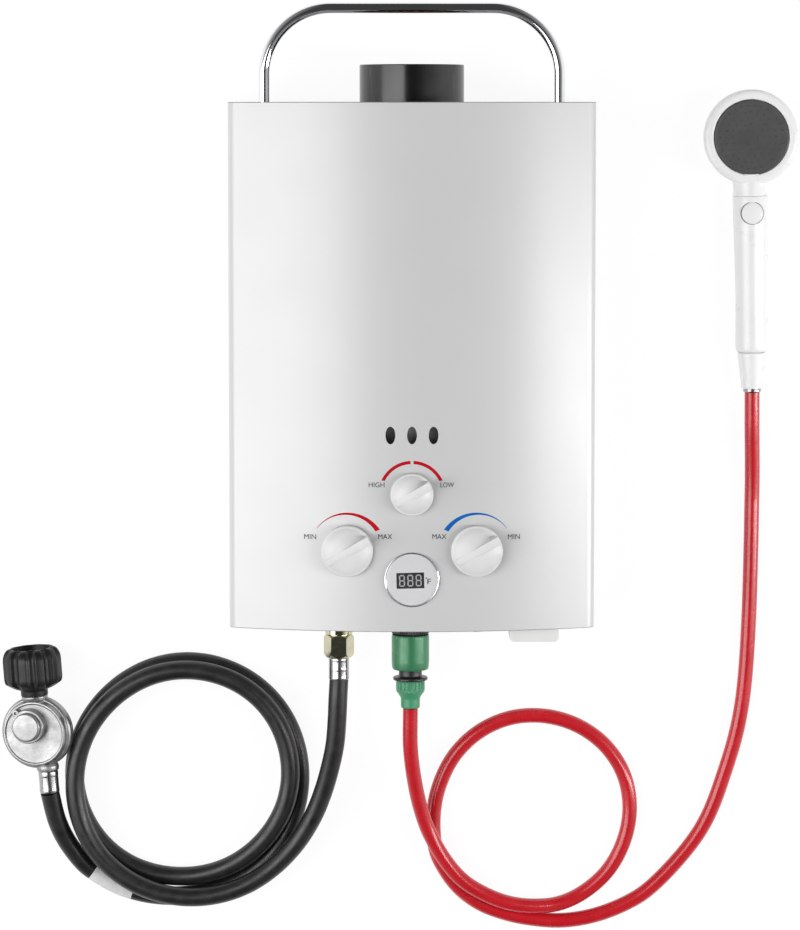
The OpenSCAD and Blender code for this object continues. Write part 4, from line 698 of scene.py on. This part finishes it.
def band(name, cx, cy, r_of, t_of, a0, a1, ink, cut_y, n=72):
    """A thin raised band along an arc, from angle a0 to a1, whose middle radius and width vary."""
    rows = []
    for k in range(n + 1):
        a = a0 + (a1 - a0) * k / n
        r, t = r_of(k / n), t_of(k / n)
        pts = []
        for rr in (r - t / 2, r + t / 2):
            x, y = cx + rr * cos(rad(a)), cy + rr * sin(rad(a))
            if y < cut_y:
                y = cut_y
                x = cx + math.copysign(sqrt(max(0.0, rr * rr - (cut_y - cy) ** 2)), cos(rad(a)))
            pts.append((x, y))
        (x0, y0), (x1, y1) = pts
        rows.append([on_cover(x0, y0, PRINT_DOWN), on_cover(x0, y0, PRINT_UP), on_cover(x1, y1, PRINT_UP),
                     on_cover(x1, y1, PRINT_DOWN)])
    v, f = skin_mesh(rows)
    return make(name, v, f, "case_paint", mat=MAT[ink], sharp=40)


def flat_text(name, text, cx, cy, height, width, z_of=None):
    cu = bpy.data.curves.new(name + "_curve", "FONT")
    cu.body = text
    cu.resolution_u = 6
    tmp = place(name + "_tmp", cu)
    bpy.context.view_layer.update()
    me = bpy.data.meshes.new_from_object(tmp.evaluated_get(bpy.context.evaluated_depsgraph_get()))
    bpy.data.objects.remove(tmp)
    bpy.data.curves.remove(cu)
    xs = [v.co.x for v in me.vertices]
    ys = [v.co.y for v in me.vertices]
    x0, x1, y0, y1 = min(xs), max(xs), min(ys), max(ys)
    z_of = z_of or (lambda x, y: bow(x))
    bm = bmesh.new()
    bm.from_mesh(me)
    bmesh.ops.triangulate(bm, faces=bm.faces)
    res = bmesh.ops.extrude_face_region(bm, geom=list(bm.faces))
    top = {g for g in res["geom"] if isinstance(g, bmesh.types.BMVert)}
    for v in bm.verts:
        px = ((v.co.x - x0) / (x1 - x0) - 0.5) * width
        py = ((v.co.y - y0) / (y1 - y0) - 0.5) * height
        x, y = cx + px, cy + py
        up = PRINT_UP if v in top else PRINT_DOWN
        v.co = Vector((x, y, z_of(x, y) + up)) * MM
    bmesh.ops.recalc_face_normals(bm, faces=bm.faces)
    bm.to_mesh(me)
    bm.free()
    me.name = name
    me.materials.clear()
    me.materials.append(MAT["print_dark"])
    return settle(place(name, me), "case")


for name, x, a0, a1, ink in (("gas_arc", -KNOB_X, 144, 33, "print_red"),
    ("water_arc", KNOB_X, 36, 147, "print_blue")):
    band(name, x, KNOB_Y, lambda t: 29.6 - 0.4 * t, lambda t: 0.35 + 3.5 * t ** 1.25, a0, a1, ink,
         cut_y=KNOB_Y + 15.5)
for name, a0, a1 in (("mode_arc_left", 92.7, 156), ("mode_arc_right", 87.3, 24)):
    band(name, 0.0, MODE_Y, lambda t: 25.3, lambda t: 2.6, a0, a1, "print_red", cut_y=MODE_Y + 10.6)
WORD_H = 3.9
for name, text, x, y, width in (("high", "HIGH", -28.05, -92.3, 12.5), ("low", "LOW", 27.9, -92.3, 10.7),
                                ("min_gas", "MIN", -81.0, -134.4, 9.6), ("max_gas", "MAX", -21.25, -133.5, 11.1),
                                ("max_water", "MAX", 21.75, -133.5, 11.1), ("min_water", "MIN", 81.1, -134.4, 9.6)):
    flat_text("word_" + name, text, x, y, WORD_H, width)

# ------------------------------------------------------------------ round display
ring_prof = soft_loop([(21.8, 124.05), (21.8, 125.4, 0.5), (21.0, 125.4, 0.4), (20.7, 124.6, 0.3), (20.6, 124.6, 0.1),
                       (20.6, 124.1), (19.95, 124.1), (19.55, 122.6), (19.55, 114.2), (19.95, 114.2),
                       (19.95, 124.05)],
                      0.1, 4)
lathe("display_ring", shift(0, SHOW_Y, 0), ring_prof, "chrome", n=128, closed=True, replaces=("display_bezel",),
      sharp=50)
face_prof = [(0, 122.8), (19.4, 122.8), (19.5, 124.2), (20.5, 124.2), (20.5, 124.4), (20.2, 124.5)]
face_prof += [(20.2 * (1 - k / 10), 124.5 + 0.2 * (1 - (1 - k / 10) ** 2)) for k in range(1, 11)]
lathe("display_dial", shift(0, SHOW_Y, 0), face_prof, "display_face", n=96, replaces=("display_lens",), sharp=50)


def face_z(x, y):
    d = min(20.2, sqrt(x * x + (y - SHOW_Y) ** 2))
    return 124.5 + 0.2 * (1 - (d / 20.2) ** 2)


def plate(name, cx, cy, w, h, up, mat, turn=0.0):
    """A thin rectangular plate lying on the display's face."""
    c, s = cos(rad(turn)), sin(rad(turn))
    xs = [-w / 2 + w * k / 8 for k in range(9)]
    ys = [-h / 2 + h * k / 8 for k in range(9)]
    verts, faces = [], []

    def at(px, py, u):
        x, y = cx + px * c - py * s, cy + px * s + py * c
        return (x, y, face_z(x, y) + u)

    for u in (-0.05, up):
        for py in ys:
            for px in xs:
                verts.append(at(px, py, u))
    for i in range(8):
        for j in range(8):
            a = i * 9 + j
            faces.append((a, a + 9, a + 10, a + 1))
            faces.append((a + 81, a + 82, a + 91, a + 90))
    edge = ([(0, j) for j in range(8)] + [(i, 8) for i in range(8)] + [(8, 8 - j) for j in range(8)]
            + [(8 - i, 0) for i in range(8)])
    for k in range(len(edge)):
        (i0, j0), (i1, j1) = edge[k], edge[(k + 1) % len(edge)]
        a, b = i0 * 9 + j0, i1 * 9 + j1
        faces.append((a, b, b + 81, a + 81))
    return make(name, verts, faces, "display_face", mat=MAT[mat], sharp=30)


LCD_X, LCD_Y, LCD_TURN = -1.3, -168.6, 1.6
plate("lcd_window", LCD_X, LCD_Y, 22.0, 12.6, 0.05, "window_dark", LCD_TURN)


def digit(name, cx, cy, w, h, turn):
    """A seven-segment 8, as flat hexagonal bars."""
    t = 1.0
    c, s = cos(rad(turn)), sin(rad(turn))
    parts = []
    segs = [((-w / 2, h / 2), (w / 2, h / 2)), ((-w / 2, 0), (w / 2, 0)), ((-w / 2, -h / 2), (w / 2, -h / 2)),
            ((-w / 2, 0), (-w / 2, h / 2)), ((w / 2, 0), (w / 2, h / 2)), ((-w / 2, -h / 2), (-w / 2, 0)),
            ((w / 2, -h / 2), (w / 2, 0))]
    for (x0, y0), (x1, y1) in segs:
        a, b = Vector((x0, y0)), Vector((x1, y1))
        d = (b - a).normalized()
        n = Vector((-d.y, d.x))
        a, b = a + d * 0.12, b - d * 0.12
        out = [a, a + d * t / 2 + n * t / 2, b - d * t / 2 + n * t / 2, b, b - d * t / 2 - n * t / 2,
               a + d * t / 2 - n * t / 2]
        ring2 = []
        for u in (0.02, 0.09):
            row = []
            for q in out:
                x, y = cx + q.x * c - q.y * s, cy + q.x * s + q.y * c
                row.append((x, y, face_z(x, y) + u + 0.02))
            ring2.append(row)
        parts.append(skin_mesh(ring2))
    v, f = join(*parts)
    return make(name, v, f, "display_face", mat=MAT["digit_pale"], sharp=30)


for k in range(3):
    dx = (k - 1) * 6.6
    c, s = cos(rad(LCD_TURN)), sin(rad(LCD_TURN))
    digit("digit_%d" % (k + 1), LCD_X + dx * c, LCD_Y + dx * s, 3.7, 8.4, LCD_TURN)
flat_text("letter_f", "F", 13.7, -169.2, 4.3, 2.9, z_of=face_z)
flat_text("mark_degree", ".", 11.3, -166.6, 1.1, 1.1, z_of=face_z)

# ------------------------------------------------------------------ battery lid
bx, lid_top = 98.3, -207.0
lid_back, lid_front = 17.03, 96.03
poly = [(-19.8, lid_top), (19.8, lid_top), (19.8, lid_top - 12.6), (17.4, lid_top - 15), (-17.4, lid_top - 15),
        (-19.8, lid_top - 12.6)]
bm = bmesh.new()
lo = [bm.verts.new((bx + x, y, lid_back)) for x, y in poly]
hi = [bm.verts.new((bx + x, y, lid_front)) for x, y in poly]
bm.faces.new(lo)
bm.faces.new(hi[::-1])
for k in range(6):
    bm.faces.new((lo[k], lo[(k + 1) % 6], hi[(k + 1) % 6], hi[k]))
bmesh.ops.recalc_face_normals(bm, faces=bm.faces)
bmesh.ops.bevel(bm, geom=list(bm.edges), offset=0.9, segments=4, profile=0.5, affect="EDGES")
v = [tuple(p.co) for p in bm.verts]
bm.verts.index_update()
f = [tuple(p.index for p in q.verts) for q in bm.faces]
bm.free()
make("battery_cover_shell", v, f, "lid_plastic", body="battery_cover", replaces=("battery_lid",), sharp=40)


# ------------------------------------------------------------------ gas nut and ferrule
def hexed(R):
    def shape(a, r, h):
        d = math.degrees(a) % 60 - 30
        return min(r, R * cos(rad(30)) / cos(rad(d)))
    return shape


NUT_H, NUT_R = 19.6, 12.4
prof = [(4.6, 0.0), (9.4, 0.0), (10.0, 0.25)]
prof += [(10.2 + 2.35 * (k / 10), 0.4 + 3.0 * (k / 10) ** 1.4) for k in range(11)]
prof += [(12.7, 6), (12.7, 10), (12.7, NUT_H - 3.2)]
prof += [(12.55 - 2.2 * (k / 8), NUT_H - 2.9 + 2.6 * (k / 8) ** 0.7) for k in range(9)]
prof += [(10.0, NUT_H), (11.2, NUT_H + 0.1), (11.2, NUT_H + 6), (8.1, NUT_H + 6), (8.1, 9.0), (4.6, 9.0)]
lathe("gas_nut_hex", along_y(GAS_X, -242.6, PIPE_Z), prof, "nut_brass", n=144, shape=hexed(NUT_R), closed=True,
      replaces=("gas_nut",), sharp=22)
lathe("gas_hose_ferrule", along_y(GAS_X, -260.6, PIPE_Z), soft_loop(
    [(4.5, 0), (8.1, 0, 0.5), (8.4, 1.0, 0.4), (8.4, 2.2, 0.3), (8.25, 2.9, 0.3), (8.25, 7.4, 0.3), (8.35, 8.1, 0.3),
     (8.35, 9.3, 0.3), (8.25, 10.0, 0.3), (8.25, 15.2, 0.3), (8.4, 15.9, 0.3), (8.4, 17.2, 0.4), (8.2, 18, 0.5),
     (4.5, 18)], 0.2, 3), "chrome", n=120, closed=True, mat=MAT["crimp_metal"], replaces=("gas_ferrule",), sharp=35)

# ------------------------------------------------------------------ regulator
lathe("outlet_ferrule", REG_M @ shift(REG_OUT_X, REG_OUT_Y - REG_OUT_H, 0) @ TURN_X,
      soft_loop([(4.5, 0), (7.9, 0, 0.5), (8.2, 1.0, 0.4), (8.2, 3.0, 0.3), (8.0, 3.6, 0.3), (8.0, 13.6, 0.3),
                 (8.2, 14.4, 0.3), (8.2, 17.2, 0.4), (7.9, 18.4, 0.5), (4.5, 18.4)], 0.2, 3), "chrome", n=120,
      closed=True, mat=MAT["crimp_metal"], replaces=("regulator_ferrule",), sharp=28)

body = lathe_mesh(REG_M, soft([(0, -19.4), (17.6, -19.4, 2.0), (25, -15.0, 3.0), (27, -4.6, 1.5), (29.4, -4.4, 0.5),
                               (30, -3.8, 0.4), (30, -0.45, 0.3), (28, -0.4), (0, -0.4)], 0.0, 6), 144)
neck = lathe_mesh(REG_M @ TURN_X,
                  soft([(0, 26), (9.6, 26.4), (10.8, 28.2, 1), (11.0, 30.0, 0.4), (10.6, 30.5), (0, 30.5)], 0, 4), 64)
spout = lathe_mesh(REG_M @ shift(REG_OUT_X, 0, 0) @ Matrix.Rotation(rad(90), 4, "X"),
                   soft([(0, 26), (8.2, 26.4), (9.2, 28.2, 1.0), (9.2, 30.4, 1.0), (8.9, 31.9, 0.5), (8.1, 32.4),
                         (0, 32.4)],
                        0, 4), 64)
v, f = join(body, neck, spout)
make("regulator_shell", v, f, "reg_cast", replaces=("regulator_body",), sharp=40)

cover_prof = soft([(0, -0.3), (30, -0.3, 0.2), (30, 3.0, 0.8), (28.6, 4.3, 0.8), (27.4, 4.5, 0.6), (26.7, 8.9, 0.6),
                   (26.1, 9.5, 0.5), (24.9, 9.5, 0.4), (24.3, 8.7, 0.5), (20, 8.6), (0, 8.6)], 0.0, 6)
HUB = REG_M @ shift(-2.6, 7.0, 0)
hub = lathe_mesh(HUB, soft([(14.5, 7.6), (14.2, 9.4, 1.2), (14.0, 10.5, 1), (14.0, 16.5, 0.9), (7.9, 16.5, 0.4),
                            (7.9, 11.6), (0, 11.6)], 0, 5), 96)
lug = lathe_mesh(REG_M @ shift(-13, 18, 0), soft([(3.4, 7.6), (3.0, 9.4, 0.6), (3.0, 13.5, 0.9), (1.2, 13.5, 0.3),
                                                      (1.0, 11.5), (0, 11.5)], 0, 4), 48)
v, f = join(lathe_mesh(REG_M, cover_prof, 144), hub, lug)
make("regulator_lid", v, f, "reg_cast", replaces=("regulator_cover",), sharp=40)
lathe("regulator_knob", HUB, soft(
    [(0, 12.0), (7.6, 12.0), (7.6, 16.5), (11.6, 16.5, 0.3), (12.0, 16.9, 0.3), (12.0, 20.1, 0.9), (10.6, 20.9, 0.5),
     (6.0, 21.0), (0, 20.85)], 0, 5), "reg_cast", n=96, replaces=("regulator_cap",), sharp=40)


def fluted(a, r, h):
    if r < 17.6 or h < 5.0:
        return r
    w = 2 * pi / 10
    d = abs((a + w / 2) % w - w / 2) * r
    half = 4.6
    if d > half:
        return r
    low = 7.4 + 3.0 * (d / half) ** 2
    fade = min(1.0, max(0.0, (h - low) / 3.0))
    depth = 2.7 * (0.5 + 0.5 * cos(pi * (d / half) ** 1.6)) * (fade * fade * (3 - 2 * fade))
    return r - depth


levels_w = [(9.3, 0.0), (10.6, 0.0), (11.1, 0.3), (11.2, 0.9), (11.2, 3.4), (11.3, 4.6), (11.8, 5.3), (13.4, 5.7)]
levels_w += [(14.6 + 8.4 * (k / 10), 6.0 + 4.6 * (k / 10) ** 1.2) for k in range(11)]
levels_w += [(23.5, 11.8), (23.8, 13.0), (24.0, 14.6)] + [(24.0, 14.6 + 14.9 * k / 12) for k in range(1, 13)]
levels_w += [(23.9, 31.0), (23.6, 32.8), (23.0, 34.6), (22.2, 36.2), (21.2, 37.7), (20.0, 38.8), (18.6, 39.4),
             (17.5, 39.5), (16.9, 39.4), (16.65, 39.0), (16.65, 28.6), (17.25, 28.5), (17.25, 15.6), (9.3, 15.5)]
lathe("tank_wheel_grip", REG_M @ along_y(0, 30.8, 0), levels_w, "wheel_black", n=360, shape=fluted, closed=True,
      body="tank_wheel", replaces=("tank_handwheel",), sharp=45)

# ------------------------------------------------------------------ quick connector at the hot outlet
CON = along_y(HOT_X, 0, PIPE_Z)


def knurled(a, r, h):
    if r < 14.0:
        return r
    return r - 0.35 + 0.35 * cos(40 * a)


lathe("outlet_knurl", CON, soft_loop([(10.3, -223), (14.6, -223, 0.5), (15.2, -222.2, 0.5), (15.3, -220.0, 0.2),
                                      (15.3, -215.4, 0.2), (14.9, -214.2, 0.5), (14.3, -213, 0.6),
                                      (10.3, -213)], 0.2, 3),
      "fitting_black", n=320, shape=knurled, closed=True, replaces=("outlet_adapter",), sharp=40)
sleeve_prof = soft_loop([
    (11.4, -223.3), (14.2, -223.3, 0.3), (15.1, -223.5, 0.6), (15.4, -225.2, 0.8), (15.4, -235.0),
    (15.4, -246.0, 0.5), (15.2, -248.4, 0.8), (14.9, -251.0, 0.9), (14.3, -252.2, 0.5), (12.6, -252.1, 0.4),
    (11.4, -251.4)], 0.1, 4)
lathe("coupling_grip", CON, sleeve_prof, "sleeve_green", n=144, closed=True, body="coupling_sleeve",
      replaces=("connector_sleeve",), sharp=40)
core = lathe_mesh(CON, soft_loop([(5.2, -225.1), (10.9, -225.1, 0.4), (10.9, -251.2, 0.3), (9.5, -252.0, 0.5),
                                  (9.5, -257.4, 0.5), (10.4, -258.2, 0.5), (13.6, -258.4, 0.5), (14.2, -259.2, 0.5),
                                  (14.2, -260.5, 0.5), (13.5, -261.2, 0.4), (8.5, -261.2), (8.5, -268.9),
                                  (5.2, -268.9)],
                                 0.1, 4), 128, closed=True)
make("connector_core", *core, "fitting_black", replaces=("connector_body",), sharp=40)


def ribbed(a, r, h):
    if r < 10.4 or h < -270.8:
        return r
    w = 2 * pi / 24
    d = abs((a % w) - w / 2) / (w / 2)
    k = min(1.0, max(0.0, (h + 270.8) / 1.6)) * min(1.0, max(0.0, (-261.5 - h) / 0.8))
    return r - 0.8 * k * (1 - min(1.0, d * 1.5) ** 2)


nut_prof = soft_loop([
    (8.7, -261.4), (11.3, -261.4, 0.4), (11.8, -262.0, 0.4), (11.8, -267.5, 0.4), (11.6, -270.2, 0.6),
    (11.0, -271.2, 0.6), (8.6, -274.6, 1.2), (7.9, -276.2, 0.8), (7.8, -283.4, 0.6), (7.3, -284.2, 0.3),
    (4.6, -284.3), (4.6, -269.2), (8.7, -269.2)],
    0.1, 5)
extra = []
for a, b in zip(nut_prof, nut_prof[1:] + nut_prof[:1]):
    extra.append(a)
    if abs(a[1] - b[1]) > 2:
        extra += [(a[0] + (b[0] - a[0]) * k / 5, a[1] + (b[1] - a[1]) * k / 5) for k in range(1, 5)]
lathe("connector_collar", CON, extra, "nut_green", n=288, shape=ribbed, closed=True, replaces=("connector_nut",),
      sharp=40)

# ------------------------------------------------------------------ handset
SET = shift(SET_X, SET_Y, 0) @ Matrix.Rotation(rad(SET_TURN), 4, "Z")
AX = SET @ shift(0, 0, SET_Z) @ TURN_X
lathe("hose_end_crimp", AX, soft_loop(
    [(4.5, 0), (6.9, 0, 0.5), (7.4, 0.8, 0.3), (7.4, 1.9, 0.3), (7.1, 2.4, 0.3), (7.1, 13, 0.3), (7.4, 14, 0.3),
     (7.4, 15), (4.5, 15)], 0.2, 3), "chrome", n=96, closed=True, mat=MAT["crimp_metal"],
      replaces=("hose_crimp",), sharp=28)
lathe("handset_cone", AX, soft_loop(
    [(7.55, 3.0), (8.3, 3.0, 0.5), (8.8, 3.9, 0.6), (9.2, 8), (10.6, 20), (11.35, 27.5), (11.8, 30.4, 1.4),
     (11.4, 32.5, 0.8), (9.2, 32.6), (9.2, 17), (7.55, 16.9)], 0.2, 5), "handset_white", n=96, closed=True,
      replaces=("handset_nut",), sharp=40)
STICK_Y = 32.9
stick = soft([(0, 17.4), (9.0, 17.4, 0.6), (9.0, STICK_Y - 0.3), (11.5, STICK_Y, 0.9), (13.1, STICK_Y + 1.6, 1.0),
              (13.45, STICK_Y + 5, 0.8)], 0, 5)
for k in range(0, 31):
    t = k / 30
    stick.append((13.5 - 0.7 * sin(pi * min(1, t * 1.02)) * (1 - t) - 0.25 * sin(pi * t) + 1.1 * t ** 1.5,
                  STICK_Y + 8 + (119.2 - 8) * t))
stick += [(14.6, 160.2), (14.5, 160.6), (14.2, 160.85), (0, 160.9)]
BUT_Y = 147.1
well = soft_loop([(8.9, 24.0), (8.9, 29.4, 0.1), (9.3, 29.45, 0.1), (9.45, 28.2), (9.45, 24.0)], 0.05, 2)
stick_v, stick_f = lathe_mesh(AX, stick, 96)
v, f = join((stick_v, stick_f), lathe_mesh(SET @ shift(0, BUT_Y, 0), well, 96, closed=True))
stick_o = make("handset_stick", v, f, "handset_white", replaces=("handset_body",), sharp=40)
# the well's faces round the stop button get the painted gap shade
stick_o.data.materials.append(MAT["painted_gap_shade"])
for p in stick_o.data.polygons:
    if p.index >= len(stick_f):
        p.material_index = 1

HEAD_Y = 208.9
head_prof = soft([
    (0, 1.0), (19, 1.0, 3), (30, 4.2, 4), (36, 10, 4), (38.6, 17, 3), (38.8, 22, 1), (38.8, 25.6, 1.4),
    (37.6, 28.2, 1.4),
    (35.2, 29.0, 0.8), (32.0, 28.9, 0.5), (30.95, 28.5, 0.3), (30.8, 27.8, 0.2), (30.8, 25.2), (0, 25.2)], 0, 6)
head = lathe_mesh(SET @ shift(0, HEAD_Y, 0), head_prof, 144)
rows = []
for k in range(25):
    t = k / 24
    y = 161.2 + (HEAD_Y - 30.0 - 161.2) * t
    e = t * t * (3 - 2 * t)
    wide = 14.6 - 0.9 * sin(pi * min(1.0, t * 1.25)) + 1.0 * e
    high = 14.6 - 0.9 * e
    z0 = SET_Z + 0.2 * e
    rows.append([SET @ Vector((wide * cos(2 * pi * i / 64), y, z0 + high * sin(2 * pi * i / 64))) for i in range(64)])
first = [SET @ Vector((14.0 * cos(2 * pi * i / 64), 160.95, SET_Z + 14.0 * sin(2 * pi * i / 64))) for i in range(64)]
neck = skin_mesh([first] + rows)
v, f = join(head, neck)
make("handset_shell", v, f, "handset_white", replaces=("handset_head",), sharp=40)
plate_prof = soft([(0, 25.0), (30.4, 25.0), (30.4, 28.9, 0.5), (29.6, 29.3, 0.4), (28.9, 29.1, 0.3),
                   (0, 29.35)], 0, 4)
spray = [lathe_mesh(SET @ shift(0, HEAD_Y, 0), plate_prof, 128)]
for count, r0 in ((6, 5.5), (12, 10.5), (18, 15.5), (24, 20.5), (30, 25.5)):
    for k in range(count):
        a = 2 * pi * k / count
        spray.append(lathe_mesh(SET @ shift(r0 * cos(a), HEAD_Y + r0 * sin(a), 0),
                                [(0.75, 29.0), (0.62, 29.45), (0.45, 29.55), (0.22, 29.52), (0.2, 29.2),
                                 (0, 29.2)], 10))
v, f = join(*spray)
make("spray_face", v, f, "spray_grey", replaces=("spray_plate",), sharp=40)
lathe("stop_button_cap", SET @ shift(0, BUT_Y, 0), soft(
    [(0, 22.0), (8.6, 22.0), (8.8, 22.4), (8.8, 30.1, 0.5), (8.4, 30.5, 0.4), (6, 30.9), (0, 31.1)], 0, 4),
      "handset_white", n=96, body="stop_button", replaces=("handset_button",), sharp=40)

# ------------------------------------------------------------------ floor, lights, world
bm = bmesh.new()
bmesh.ops.create_grid(bm, x_segments=8, y_segments=8, size=6.0)
me = bpy.data.meshes.new("floor")
bm.to_mesh(me)
bm.free()
floor = place("floor", me)
floor.location = (0, 0, -0.0003)
fm = bpy.data.materials.new("m_floor")
nt, out = fresh_tree(fm, "OutputMaterial")
dif = node(nt, "BsdfDiffuse")
dif.inputs["Color"].default_value = (0.88, 0.88, 0.88, 1)
em = node(nt, "Emission")
em.inputs["Strength"].default_value = 1.05
mix = node(nt, "MixShader")
lp = node(nt, "LightPath")


def maths(operation, first, second=None):
    n = node(nt, "Math")
    n.operation = operation
    nt.links.new(first, n.inputs[0])
    if second is not None:
        nt.links.new(second, n.inputs[1])
    return n


def wire(factor, first, second):
    """Mixes two shaders into the output of the tree at hand."""
    for k, socket in enumerate((factor, first, second)):
        nt.links.new(socket, mix.inputs[k])
    nt.links.new(mix.outputs[0], out.inputs[0])


seen = maths("MAXIMUM", lp.outputs["Is Camera Ray"], lp.outputs["Is Glossy Ray"])
seen = maths("MAXIMUM", seen.outputs[0], lp.outputs["Is Transmission Ray"])
share = maths("MULTIPLY", seen.outputs[0])
share.inputs[1].default_value = 0.88
wire(share.outputs[0], dif.outputs[0], em.outputs[0])
me.materials.append(fm)

world = bpy.data.worlds.new("studio")
bpy.context.scene.world = world
nt, out = fresh_tree(world, "OutputWorld")
white = node(nt, "Background")
white.inputs[0].default_value = (1, 1, 1, 1)
white.inputs[1].default_value = 1.0
room = node(nt, "Background")
room.inputs[1].default_value = 1.0
tc = node(nt, "TexCoord")
sep = node(nt, "SeparateXYZ")
nt.links.new(tc.outputs["Generated"], sep.inputs[0])
# the studio's walls: pale to the left and right, dark overhead; only the camera sees plain white
ramp = node(nt, "ValToRGB")
ramp.color_ramp.elements.new(0.97)
for element, position, grey in zip(ramp.color_ramp.elements, (0.10, 0.72, 0.97), (0.05, 0.36, 1.0)):
    element.position = position
    element.color = (grey, grey, grey, 1)
nt.links.new(maths("ABSOLUTE", sep.outputs["X"]).outputs[0], ramp.inputs[0])
nt.links.new(ramp.outputs[0], room.inputs[0])
mix = node(nt, "MixShader")
lp = node(nt, "LightPath")
wire(lp.outputs["Is Camera Ray"], room.outputs[0], white.outputs[0])


def softbox(name, at, target, size_x, size_y, watts):
    li = bpy.data.lights.new(name, "AREA")
    li.shape = "RECTANGLE"
    li.size, li.size_y = size_x, size_y
    li.energy = watts
    o = place(name, li)
    o.location = at
    d = Vector(target) - Vector(at)
    o.rotation_euler = d.to_track_quat("-Z", "Y").to_euler()
    o.visible_camera = False


softbox("key_left", (-1.72, -0.2, 2.0), (0, 0, 0.05), 1.5, 2.6, 50)
softbox("strip_right", (2.05, -0.25, 1.36), (0, 0, 0.05), 0.4, 2.6, 35)
bpy.context.scene.view_settings.view_transform = "Standard"
